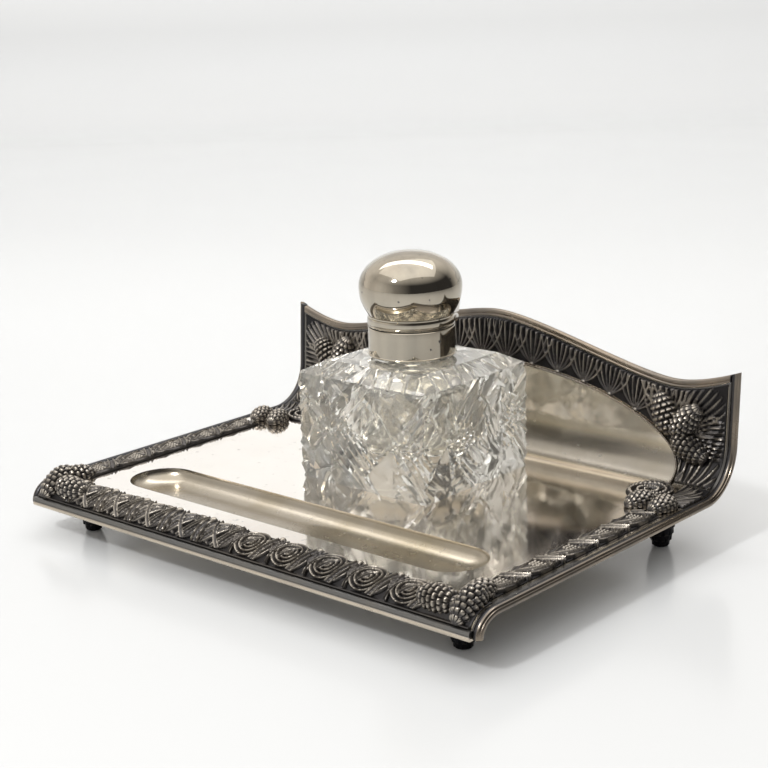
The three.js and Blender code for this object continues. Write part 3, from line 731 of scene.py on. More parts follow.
def lip_silver(f, colours):
    """The front lip: a dull blue-grey band over a bright lower edge that is a painted highlight."""
    parts = f.node("ShaderNodeSeparateXYZ", {}, {"Vector": f.place()}, "Z")
    band = f.steps((parts - LIP_FOOT * MM) * 500.0, (0.7, 0.0), (0.86, 1.0))
    cloud = f.noise(60.0, 4.0)
    # The bright lower edge is a painted highlight.
    bright = f.mix(cloud, (0.74, 0.65, 0.53), (0.4, 0.36, 0.3))
    base = f.mix(band, bright, f.mix(cloud, (0.13, 0.14, 0.152), (0.24, 0.22, 0.19)))
    rough = 0.22 + 0.16 * band + 0.1 * cloud
    return f.metal(base, rough, f.bump(cloud, 0.05, 0.0002))


def oxidised_silver(f, colours):
    """Cast silver, black in the hollows of its relief and rubbed bright on the crests."""
    relief = f.relief()
    patch = f.noise(45.0, 4.0)
    grain = f.noise(1500.0, 3.0)
    worn_to = relief + 0.2 * (patch - 0.5) + 0.1 * (grain - 0.5)
    crest_mask = f.steps(worn_to, (0.6, 0.0), (1.0, 1.0))
    hollow = f.steps(relief, (0.05, 1.0), (0.4, 0.0))
    base = f.mix(patch, colours.oxide, colours.oxide_warm)
    worn = f.mix(crest_mask, base, colours.crest)
    colour = f.mix(hollow * 0.85, worn, colours.hollow)
    rough = 0.42 - 0.18 * crest_mask + 0.12 * patch
    bumps = f.bump(grain, 0.25, 0.0001)
    return f.metal(colour, rough, bumps)


def blackened_silver(f, colours):
    """Cast silver that has gone almost black."""
    relief = f.relief()
    patch = f.noise(180.0, 3.0)
    grain = f.noise(1800.0, 3.0)
    crest_mask = f.steps(relief + 0.2 * (patch - 0.5), (0.7, 0.0), (1.0, 1.0))
    colour = f.mix(crest_mask * 0.5, colours.hollow, colours.oxide_warm)
    rough = 0.42 + 0.2 * patch
    bumps = f.bump(grain, 0.3, 0.0001)
    return f.metal(colour, rough, bumps)


def cut_glass(f, colours):
    """Clear glass, a little milky, with pale lines along the bottoms of its cuts that are a painted glow.
    """
    # The emission is a painted glow along the cut lines; the glass is no lamp.
    f.set(Transmission_Weight=0.9, IOR=1.5, Metallic=0.0, Emission_Strength=0.35)
    haze = f.noise(90.0, 3.0)
    smear = f.noise(420.0, 2.0)
    lines = f.steps(f.relief(), (0.8, 0.0), (1.0, 1.0))
    bumps = f.bump(smear, 0.03, 0.0001)
    tint = f.mix(haze * 0.25, colours.glass, colours.glass_tint_and_glow)
    # Painted glow: the green edge colour laid along the cut lines.
    glow = f.mix(lines, (0, 0, 0), colours.glass_tint_and_glow)
    rough = 0.01 + 0.03 * haze + 0.2 * lines
    return f.set(Base_Color=tint, Roughness=rough, Emission_Color=glow, Normal=bumps)


def plaster(f, colours):
    """Blotched, grainy plaster."""
    blotch = f.noise(260.0, 4.0)
    grain = f.noise(2400.0, 3.0)
    colour = f.mix(blotch * 0.6, colours.plaster, colours.oxide_warm)
    bumps = f.bump(grain + blotch, 0.4, 0.0002)
    return f.set(Base_Color=colour, Roughness=0.8 + 0.15 * grain, Normal=bumps)


MAKERS = (
    polished_silver, lid_silver, rim_silver, lip_silver,
    oxidised_silver, blackened_silver, cut_glass, plaster,
)
FINISHES = {}


def finish_of(kind):
    """The shared material of one finish, made when it is first asked for."""
    if kind not in FINISHES:
        maker = next(maker for maker in MAKERS if maker.__name__ == kind)
        FINISHES[kind] = maker(Finish(kind), bpy.context.scene.inkstand_colours)
    return FINISHES[kind]


# ---------------------------------------------------------------- what a user may change


def length_of(name, description, default, low, high):
    return FloatProperty(
        name=name, description=description, default=default, min=low, max=high, unit="LENGTH"
    )


class InkstandSizes(bpy.types.PropertyGroup):
    """Sizes of the cast and cut ornament."""

    border_relief: length_of(
        "Border relief", "Height of the cast borders over the tray", 0.0021, 0.0005, 0.0021
    )
    back_relief: length_of("Back relief", "Height of the needle border on the back", 0.0016, 0.0004, 0.0016)
    scale_rows: IntProperty(
        name="Scale rows", description="Rows of scales along a pine cone", default=8, min=4, max=16
    )
    cut_depth: length_of("Cut depth", "Depth of the widest mitre cuts in the glass", 0.0019, 0.0002, 0.003)


def colour_of(name, description, value):
    return FloatVectorProperty(
        name=name, description=description, default=value, min=0, max=1, size=3, subtype="COLOR"
    )


class InkstandColours(bpy.types.PropertyGroup):
    """Colours of the metal, the glass and the floor."""

    silver: colour_of("Silver", "Polished silver", (0.97, 0.925, 0.87))
    # Also laid on the right rear of the field as painted shade.
    khaki: colour_of("Khaki", "Silver that has gone brown", (0.46, 0.392, 0.272))
    tarnish: colour_of("Tarnish", "Clouded silver", (0.80, 0.75, 0.69))
    oxide: colour_of("Oxide", "Darkened silver", (0.075, 0.077, 0.085))
    oxide_warm: colour_of("Warm oxide", "Darkened silver with a brown cast", (0.13, 0.112, 0.093))
    crest: colour_of("Crest", "Rubbed high points of the borders", (0.47, 0.425, 0.36))
    hollow: colour_of("Hollow", "Blackened ground of the borders", (0.018, 0.018, 0.02))
    glass: colour_of("Glass", "Clear glass", (0.91, 0.895, 0.845))
    # Also the colour of the painted glow along the glass's cut lines.
    glass_tint_and_glow: colour_of("Glass edge", "Glass with a faint green cast", (0.87, 0.885, 0.83))
    plaster: colour_of("Plaster", "Plaster under the collar", (0.72, 0.68, 0.60))
    floor: colour_of("Floor", "Pale table", (0.595, 0.604, 0.608))


# ---------------------------------------------------------------- pieces


def light(name, where, aim, size, energy, shape="RECTANGLE"):
    """A soft area light that looks at a point."""
    data = bpy.data.lights.new(name, "AREA")
    data.shape = shape
    data.size = size[0]
    if shape == "RECTANGLE":
        data.size_y = size[1]
    data.energy = energy
    lamp = bpy.data.objects.new(name, data)
    bpy.context.collection.objects.link(lamp)
    lamp.location = where
    look = Vector(aim) - Vector(where)
    lamp.rotation_euler = look.to_track_quat("-Z", "Y").to_euler()
    return lamp


class INKSTAND_OT_stage(bpy.types.Operator):
    """Add the pale floor, the soft lights and the camera"""

    bl_idname = "inkstand.stage"
    bl_label = "Stage"

    def execute(self, context):
        colours = context.scene.inkstand_colours
        ahead = np.array([-math.sin(AZIMUTH), math.cos(AZIMUTH)])
        side = np.array([math.cos(AZIMUTH), math.sin(AZIMUTH)])

        def place(u, v):
            reach = FLOOR_NEAR + v * FLOOR_RUN
            up = np.maximum(reach - FLOOR_FAR, 0)
            turn = np.clip(up / FLOOR_BEND, 0, math.pi / 2)
            run = np.minimum(reach, FLOOR_FAR) + FLOOR_BEND * np.sin(turn)
            rise = FLOOR_BEND * (1 - np.cos(turn)) + np.maximum(up - FLOOR_BEND * math.pi / 2, 0)
            across = (u * 2 - 1) * FLOOR_HALF
            return ahead[0] * run + side[0] * across, ahead[1] * run + side[1] * across, rise

        floor, _, _ = grid("floor", 8, 96, place)
        smooth(floor, 60)
        f = Finish("pale_table")
        cloud = f.noise(3.0, 2.0)
        grain = f.noise(800.0, 2.0)
        height = f.node("ShaderNodeSeparateXYZ", {}, {"Vector": f.place()}, "Z")
        wall = f.steps(height, (0.12, 0.0), (0.4, 1.0))
        table = f.mix(cloud * 0.3, colours.floor, (0.572, 0.58, 0.585))
        colour = f.mix(wall, table, (0.92, 0.92, 0.915))
        f.set(Base_Color=colour, Roughness=0.14 + 0.08 * cloud, Normal=f.bump(grain, 0.02, 0.0001))
        floor.data.materials.append(f.material)

        world = bpy.data.worlds.new("studio")
        context.scene.world = world
        world.use_nodes = True
        sky = Sky(world)
        top = sky.steps(sky.along((0, 0, 1)), (0.5, 0.0), (0.95, 1.0))
        behind = sky.steps(sky.along((*ahead, 0)), (0.2, 0.0), (0.7, 1.0))
        left = sky.steps(sky.along((*-side, 0)), (0.0, 0.0), (0.95, 1.0))
        low_left = sky.steps(sky.along((-0.64, -0.77, 0.05)), (0.72, 0.0), (1.0, 1.0))
        level = (0.05 + 0.46 * left + 0.36 * low_left + 0.8 * top + 0.8 * behind).clamp()
        sky.set(Color=sky.mix(level, (0.0, 0.0, 0.003), (1.0, 0.965, 0.92)), Strength=1.0)
        context.scene.view_settings.view_transform = "Standard"

        light("top_soft", (-0.1, 0.1, 1.8), (0, 0.05, 0), (2.6, 2.2), 11.5)
        light("back_wash", (-0.9, 0.9, 2.2), (-1.4, 2.0, 0.7), (2.6, 1.2), 31.0)
        fill = light("fill", (1.4, -1.5, 1.5), (0, 0, 0), (2.2, 2.2), 30.0)
        fill.visible_glossy = False
        light("round_key", (-0.1, -1.1, 1.25), (0, 0, 0.05), (0.2, 0.2), 12.0, shape="DISK")

        camera = bpy.data.objects.new("camera", bpy.data.cameras.new("camera"))
        context.collection.objects.link(camera)
        camera.data.lens = LENS
        camera.data.sensor_width = 36
        camera.data.clip_start = 0.01
        aim = Matrix.Rotation(AZIMUTH, 4, "Z") @ Matrix.Rotation(math.pi / 2 - ELEVATION, 4, "X")
        aim = aim @ Matrix.Rotation(-ROLL, 4, "Z")
        camera.matrix_world = Matrix.Translation(CAMERA_AT) @ aim
        context.scene.camera = camera
        return {"FINISHED"}


def trough_drop(distance):
    """How deep the trough is at a distance inside its outline."""
    t = unit(distance / TROUGH_WALL)
    curve = np.sqrt(unit(1 - (1 - t) ** 2))
    return TROUGH_DEPTH * (0.985 * curve + 0.015 * t)


class INKSTAND_OT_tray(bpy.types.Operator):
    """Form the polished tray: rolled front, pressed trough, cove and shaped back"""

    bl_idname = "inkstand.tray"
    bl_label = "Tray sheet"

    def execute(self, context):
        reach = TROUGH_END - TROUGH_HALF
        middle = np.linspace(-reach, reach, 53)
        outer = np.linspace(reach, SHEET_EDGE, 19)[1:]
        columns = np.concatenate([-outer[::-1], middle, outer])
        rows = np.linspace(FLANGE_Y, FIELD_BREAK_Y, 25)
        # The walk round the trough's frame: front edge, right edge, back edge, left edge
        walk = [(x, rows[0]) for x in columns]
        walk += [(columns[-1], y) for y in rows[1:]]
        walk += [(x, rows[-1]) for x in columns[::-1][1:]]
        walk += [(columns[0], y) for y in rows[::-1][1:-1]]
        walk = np.array(walk)
        count = len(walk)
        # Straight along the trough's front, round its right end, back, and round its left end
        caps, side = len(outer) * 2 + len(rows) - 1, len(middle) - 1
        step = (np.arange(count) - len(outer)) % count
        ends = [side, side + caps, 2 * side + caps, 2 * (side + caps)]
        turn = np.interp(step, ends, np.array([-1, 1, 1, 3]) * math.pi / 2)
        aim = np.stack([np.cos(turn), np.sin(turn)], 1)
        aim[np.abs(aim) < 1e-12] = 0
        root = np.stack([np.clip(walk[:, 0], -reach, reach), np.full(count, TROUGH_Y)], 1)

        def ring(edge, drop=0.0):
            return np.column_stack([edge, np.full(count, FIELD_TOP - drop)])

        insets = (8, 7, 6, 5, 4, 3.2, 2.5, 1.9, 1.4, 1.0, 0.65, 0.35, 0.15, 0)
        radii = [0, 2.5, 5.0] + [TROUGH_HALF - inset for inset in insets]
        rings = [ring(root + aim * radius, trough_drop(TROUGH_HALF - radius)) for radius in radii]
        lip = root + aim * (TROUGH_HALF + 0.35)
        rings += [ring(lip + (walk - lip) * share) for share in (0, 0.15, 0.4, 0.7, 1.0)]
        rings = np.array(rings)

        def lay_rings(u, v):
            row = np.rint(v * (len(rings) - 1)).astype(int)
            at = np.rint(u * count).astype(int) % count
            return rings[row, at].T

        dish, _, _ = grid("tray_middle", count, len(rings) - 1, lay_rings)

        def column(u):
            return columns[np.rint(u * (len(columns) - 1)).astype(int)]

        def lay_front(u, v):
            return column(u), *flange(v * math.pi / 2, 0.0)

        front, _, _ = grid("tray_front", len(columns) - 1, 24, lay_front)

        def lay_back(u, v):
            x = column(u)
            top = reach_of(crest(x) - TOP_RIM - SOLDER)
            share = unit((v - FLAT_SHARE) / (1 - FLAT_SHARE))
            y, z = back_face(share * top, 0.0)
            flat = rows[-1] + unit(v / FLAT_SHARE) * (COVE_Y - rows[-1])
            return x, np.where(v < FLAT_SHARE, flat, y), np.where(v < FLAT_SHARE, FIELD_TOP, z)

        rear, _, _ = grid("tray_rear", len(columns) - 1, 75, lay_back)
        sheet = outward(joined("tray_sheet_formed", [dish, front, rear]), SEAM_WELD)
        up = sum(p.normal.z * p.area for p in sheet.data.polygons)
        apply(sheet, "SOLIDIFY", thickness=SHEET * MM, offset=-1 if up > 0 else 1)
        outward(sheet)
        x, y, z = read(sheet).T
        # Relief up to 1 browns the silver; above 1 it is painted shade in the trough, at the foot of the
        # cove and along the edges.
        under = z > FIELD_TOP - TROUGH_DEPTH - 0.2
        trough = 1.2 * unit((FIELD_TOP - z) / 0.8) * (y > FLANGE_Y + 1) * under
        low = unit((FIELD_TOP + 17 - z) / 7)
        cove = unit((z - FIELD_TOP) / 1.5) * (0.5 + 0.9 * low)
        # The right rear of the field is painted browner and darker than the left: painted shade.
        corner = unit((y - 20.0) / 45.0) * unit((x + 10) / 60.0) * 0.6
        # The side strips and the band under the top rim get painted shade between the borders and the rims.
        edge = 2.0 * unit((np.abs(x) - SHEET_EDGE + 2) / 0.8)
        edge = np.maximum(edge, 2.0 * (z > crest(x) - TOP_RIM - 1.8))
        attribute(sheet, "relief", np.max([trough, cove, corner, edge], axis=0))
        smooth(sheet, 25)
        finish_piece(sheet, "polished_silver", "tray_sheet")
        return {"FINISHED"}


class INKSTAND_OT_rims(bpy.types.Operator):
    """Run the stepped mouldings along the tray's edges"""

    bl_idname = "inkstand.rims"
    bl_label = "Rims"

    def execute(self, context):
        across = [
            (117.2, -2.4), (119.2, -2.4), (119.8, -2.0), (120.0, -1.4), (119.98, -0.8),
            (119.7, -0.35), (119.35, -0.3), (119.2, 0.0), (119.0, 0.34), (118.6, 0.54),
            (118.1, 0.6), (117.5, 0.55), (117.05, 0.38), (116.75, 0.1), (116.65, -0.3),
            (116.65, -1.8), (116.8, -2.2),
        ]
        top_reach = {x: float(reach_of(crest(x))) for x, _ in across}
        xs = np.array(sorted(top_reach))
        tops = np.array([top_reach[x] for x in xs])

        def along_side(x, lift, v):
            share = v * 3
            roll_y, roll_z = flange(unit(share) * math.pi / 2, lift)
            flat = FLANGE_Y + unit(share - 1) * (COVE_Y - FLANGE_Y)
            up_y, up_z = back_face(unit(share - 2) * np.interp(x, xs, tops), lift)
            y = np.where(share < 1, roll_y, np.where(share < 2, flat, up_y))
            z = np.where(share < 1, roll_z, np.where(share < 2, FIELD_TOP + lift, up_z))
            return x, y, z

        right = smooth(wrapped("rim_right_moulding", across, 96, along_side), 32)
        finish_pair(right, "rim_silver", "rim")

        over = [
            (3.2, 0.1), (3.1, 0.45), (2.75, 0.6), (2.35, 0.5), (2.15, 0.3), (1.9, 0.46),
            (1.3, 0.58), (0.7, 0.5), (0.3, 0.25), (0.12, -0.1), (0.3, -0.3), (0.3, -0.7),
            (0.0, -0.95), (0.0, -1.5), (0.25, -2.1), (0.8, -2.4), (2.8, -2.4), (3.2, -2.1),
        ]

        def along_top(drop, lift, v):
            x = (v * 2 - 1) * (SHEET_EDGE - SOLDER)
            return x, *back_face(reach_of(crest(x) - drop), lift)

        top = smooth(wrapped("rim_top_moulding", over, 150, along_top), 32)
        finish_piece(top, "rim_silver", "rim_top")

        lip = [
            (-81.6, 12.25), (-84.1, LIP_FOOT), (-84.7, 12.4), (-85.0, 12.9), (-84.95, 13.5),
            (-84.6, 13.85), (-84.45, 14.0), (-84.75, 14.4), (-84.65, 15.1), (-84.45, 15.7),
            (-83.9, 15.85), (-82.75, 15.75), (-82.95, 14.6), (-83.1, 13.3), (-83.1, 12.9),
            (-81.6, 12.9),
        ]

        def along_front(y, z, v):
            return (v * 2 - 1) * (SHEET_EDGE - SOLDER), y, z

        front = smooth(wrapped("rim_front_lip", lip, 40, along_front), 32)
        finish_piece(front, "lip_silver", "rim_front")
        return {"FINISHED"}


class INKSTAND_OT_borders(bpy.types.Operator):
    """Cast the leaf borders of the front and sides and the needle border of the back"""

    bl_idname = "inkstand.borders"
    bl_label = "Borders"

    def execute(self, context):
        sizes = context.scene.inkstand_sizes
        rise, back_rise = sizes.border_relief / MM, sizes.back_relief / MM
        front = raised("border_front_relief", 800, 48, front_place, front_height(rise))
        finish_piece(front, "oxidised_silver", "border_front")
        right = raised("border_right_relief", 36, 300, side_place, side_height(rise))
        finish_pair(right, "oxidised_silver", "border")
        back = raised("border_back_relief", 660, 66, back_place, back_height(back_rise))
        finish_piece(back, "oxidised_silver", "border_back")

        beads = 150

        def along_arch(a, b, v):
            turn = math.pi * (1 - v)
            x = (ARCH_HALF + 0.65) * np.cos(turn)
            z = FIELD_TOP + (ARCH_RISE + 0.65) * np.sin(turn)
            swell = 1 + 0.28 * np.cos(TURN * v * beads)
            reach = reach_of(np.maximum(z, FIELD_TOP)) + b * np.sin(turn) * swell
            y, z = back_face(reach, 0.7 + a * swell)
            return x + b * np.cos(turn) * swell, y, z

        ring = [(0.52 * math.cos(TURN * i / 8), 0.5 * math.sin(TURN * i / 8)) for i in range(8)]
        wire = smooth(wrapped("arch_wire", ring, 4 * beads, along_arch), 60)
        finish_piece(wire, "rim_silver", "arch_bead")
        return {"FINISHED"}


CONE_SHAPE = ((0, -0.5), (0.55, -0.46), (0.95, -0.25), (1, -0.02), (0.8, 0.24), (0.42, 0.43), (0, 0.5))


def bricks(u, row, around):
    """A point's place in its scale: up the row as 0 to 1, and round from the middle."""
    turn = u * around + 0.5 * np.mod(np.floor(row), 2)
    return row - np.floor(row), turn - np.rint(turn)


def cone_casting(name, length, radius, rows, around=11):
    """A pine cone along +Y about the origin, its scales in brick rows."""
    shape = np.array(CONE_SHAPE)
    curve = np.linspace(0, 1, len(shape))

    def lay(u, v):
        r = np.interp(v, curve, shape[:, 0])
        y = np.interp(v, curve, shape[:, 1])
        r = 0.3 * r + 0.7 * unit(1 - np.abs(y * 2) ** 2.6) ** 0.6
        part, side = bricks(u, (y + 0.5) * rows, around)
        pillow = unit(1 - (2.1 * side) ** 4) * unit(1 - (2.1 * (part - 0.5)) ** 4)
        bump = pillow**0.6 * (0.75 + 0.25 * np.cos(TURN * (part - 0.42)))
        grown = r * radius * (0.8 + 0.24 * bump)
        lay.bump = bump
        angle = u * TURN
        return grown * np.cos(angle), y * length, grown * np.sin(angle)

    obj, _, _ = grid(name, around * 8, rows * 8, lay)
    attribute(obj, "relief", 0.15 + 0.85 * lay.bump)
    return smooth(outward(obj, WELD), 40)


def set_down(obj, matrix):
    """Turns and moves a piece's mesh, in millimetres, and leaves its object at the origin."""
    points = read(obj)
    turn = np.array(matrix.to_3x3())
    write(obj, points @ turn.T + np.array(matrix.translation))


def settle(obj):
    """Flattens what would go through the tray onto its upper face."""
    x, y, z = read(obj).T
    forward = unit((FLANGE_Y - y) / FLANGE_RUN)
    under = FLANGE_Z + FLANGE_DROP * np.sqrt(1 - forward**2)
    z = np.maximum(z, np.where(y < FLANGE_Y, under, FIELD_TOP) + 2 * SOLDER)
    wall = back_face(reach_of(z), 2 * SOLDER)[0]
    write(obj, np.stack([x, np.minimum(y, wall), z], 1))
    return obj


ROSETTE_RADIUS = 9.6


class INKSTAND_OT_cones(bpy.types.Operator):
    """Cast the pine cones of the corners"""

    bl_idname = "inkstand.cones"
    bl_label = "Pine cones"

    def execute(self, context):
        rows = context.scene.inkstand_sizes.scale_rows
        large = cone_casting("cone_pattern", 18.4, 5.3, rows)
        small = cone_casting("small_cone_pattern", 14.6, 4.5, rows)

        def placed(pattern, at, heading, pitch):
            cone = copy_of(pattern, "cone")
            turn = Matrix.Rotation(heading, 4, "Z") @ Matrix.Rotation(pitch, 4, "X")
            set_down(cone, Matrix.Translation(at) @ turn)
            return settle(cone)

        quarter = math.pi / 2
        front = [
            placed(large, (98.25, -78.0, 21.2), quarter, 0.0),
            placed(large, (110.0, -76.5, 21.4), math.pi, -0.5),
            placed(large, (108.0, -68.0, 21.8), 0.15, 0.0),
        ]
        finish_pair(joined("cones_front_right_cast", front), "oxidised_silver", "cones_front")

        def wall(z):
            return float(back_face(reach_of(z), 1.8)[0])

        hub_x, hub_z, spread = 92.5, FIELD_TOP + 18.5, 17.0 * 0.55
        back = []
        for heading in (0.4, -0.72, -1.98):
            x = hub_x - spread * math.sin(heading)
            z = hub_z + spread * math.cos(heading)
            cone = copy_of(large, "cone")
            slope = Matrix.Rotation(math.atan2(2, wall(z + 1) - wall(z - 1)), 4, "X")
            turn = slope @ Matrix.Rotation(heading, 4, "Z")
            set_down(cone, Matrix.Translation((x, wall(z) - 1, z)) @ turn)
            back.append(settle(cone))
        finish_pair(joined("cones_back_right_cast", back), "oxidised_silver", "cones_back")

        cone_y, level = 43.2, FIELD_TOP + 1.2
        pair = [
            placed(small, (99.5, cone_y, level), math.pi - 0.28, 0.0),
            placed(small, (109.9, cone_y, level), math.pi - 0.2, 0.0),
        ]
        scroll = joined("scroll_right_cast", pair + [self.rosette((94.5, 58.5)), self.spray()])
        finish_pair(scroll, "oxidised_silver", "scroll")
        for pattern in (large, small):
            bpy.data.objects.remove(pattern)
        return {"FINISHED"}

    def spray(self):
        """Needles that fill the corner between the rosette, the rim and the back's border."""
        low_x, wide, low_y = 104.3, 11.2, 49.0
        long = COVE_Y - low_y + COVE_RADIUS * 0.42

        def place(u, v, lift):
            return rear_place(low_x + u * wide, low_y + v * long, lift)

        def height(u, v):
            r = Relief(u * wide, v * long, 0.05)
            r.fan((1.0, 0.5), 1.1, 0.75, 11, 19.0, 2.3, 1.0, -0.1)
            r.fan((0.5, 9.0), 1.2, 0.8, 8, 10.0, 1.8, 0.9, -0.1)
            return r.cast(u, v, 0.15, 0.15, 1.1)

        return raised("spray", 44, 64, place, height)

    def rosette(self, centre):
        """The round spiral leaf where the side border meets the cove."""

        def place(u, v, lift):
            r, a = v * ROSETTE_RADIUS, u * TURN
            return rear_place(centre[0] + r * np.cos(a), centre[1] + r * np.sin(a), lift)

        def height(u, v):
            r, a = v * ROSETTE_RADIUS, u * TURN
            spiral = np.cos(TURN * (r / 3.1 - u))
            level = unit(0.5 + 0.5 * spiral) * np.clip(r / 1.5, 0.2, 1)
            level = np.maximum(level, ridge(r, 8.7, 0.6))
            level = np.maximum(level, 0.8 * ridge(r, 0, 1.3))
            level = level * (0.85 + 0.15 * np.cos(a * 24))
            level = np.where(v > 0.995, 0.0, level)
            return level, SOLDER + 0.2 + 1.6 * level

        return raised("rosette", 120, 40, place, height)


class INKSTAND_OT_feet(bpy.types.Operator):
    """Cast the four dark tapering feet"""

    bl_idname = "inkstand.feet"
    bl_label = "Feet"

    def execute(self, context):
        top = FIELD_TOP - SHEET
        outline = [(0, 0), (2.9, 0), (3.7, 0.8), (4.9, top * 0.22), (6, top * 0.5)]
        outline = np.array(outline + [(5.6, top * 0.75), (5, top), (0, top)])
        steps = np.concatenate([[0], np.cumsum(np.hypot(*np.diff(outline, axis=0).T))])

        def lay(u, v):
            at = v * steps[-1]
            r, z = np.interp(at, steps, outline[:, 0]), np.interp(at, steps, outline[:, 1])
            part, side = bricks(u, z / top * 7, 11)
            tile = unit(1 - (2 * side) ** 2) ** 0.7
            bump = tile * (1 - part) * unit(z / 0.8) * unit((top - z) / 0.8)
            lay.bump = bump
            grown = r - 0.7 + 0.7 * bump
            grown = np.where(r < 0.5, r, grown)
            return grown * np.cos(u * TURN), grown * np.sin(u * TURN), z

        pattern, _, _ = grid("foot_pattern", 66, 84, lay)
        attribute(pattern, "relief", lay.bump)
        smooth(outward(pattern, WELD), 40)
        for side, x in (("right", 99.9), ("left", -99.9)):
            for end, y in (("front", -67.2), ("back", COVE_Y - 2.9)):
                foot = copy_of(pattern, f"foot_{end}_{side}_cast")
                set_down(foot, Matrix.Translation((x, y, 0)))
                finish_piece(foot, "blackened_silver", f"foot_{end}_{side}")
        bpy.data.objects.remove(pattern)
        return {"FINISHED"}


FIELD_CUTS = 9
HATCH_HALF = 13.5
MITRE_WIDTH = 1.7
NOTCH, NOTCH_DEPTH = 2.2, 2.0
# How far a face must reach into a cut's box to be split
TOUCH = 0.05
NOTCHES = [5.6 + 6.7 * i for i in range(6)]
MID = BOTTLE_BODY / 2
STAR = 17.0
FIELD_CENTRES = (-2 * STAR, 0.0, 2 * STAR)
# Star rays: degrees, length, half width
RAYS = (
    (90, 21.5, 2.0), (70, 21.0, 1.9), (110, 21.0, 1.9), (-90, 21.5, 1.4), (-75, 21.0, 1.3),
    (-105, 21.0, 1.3), (-62, 19.0, 1.2), (-118, 19.0, 1.2),
)
# Shoulder cuts: where each starts and ends across, and its half width
SHOULDER_CUTS = [(x, x * 0.62, 1.1) for x in range(-24, 25, 8)]


def on_corner(face):
    """Whether a face is on one of the upright corner cuts."""
    return abs(abs(face.normal.x) - abs(face.normal.y)) < 0.05 and abs(face.normal.z) < 0.1


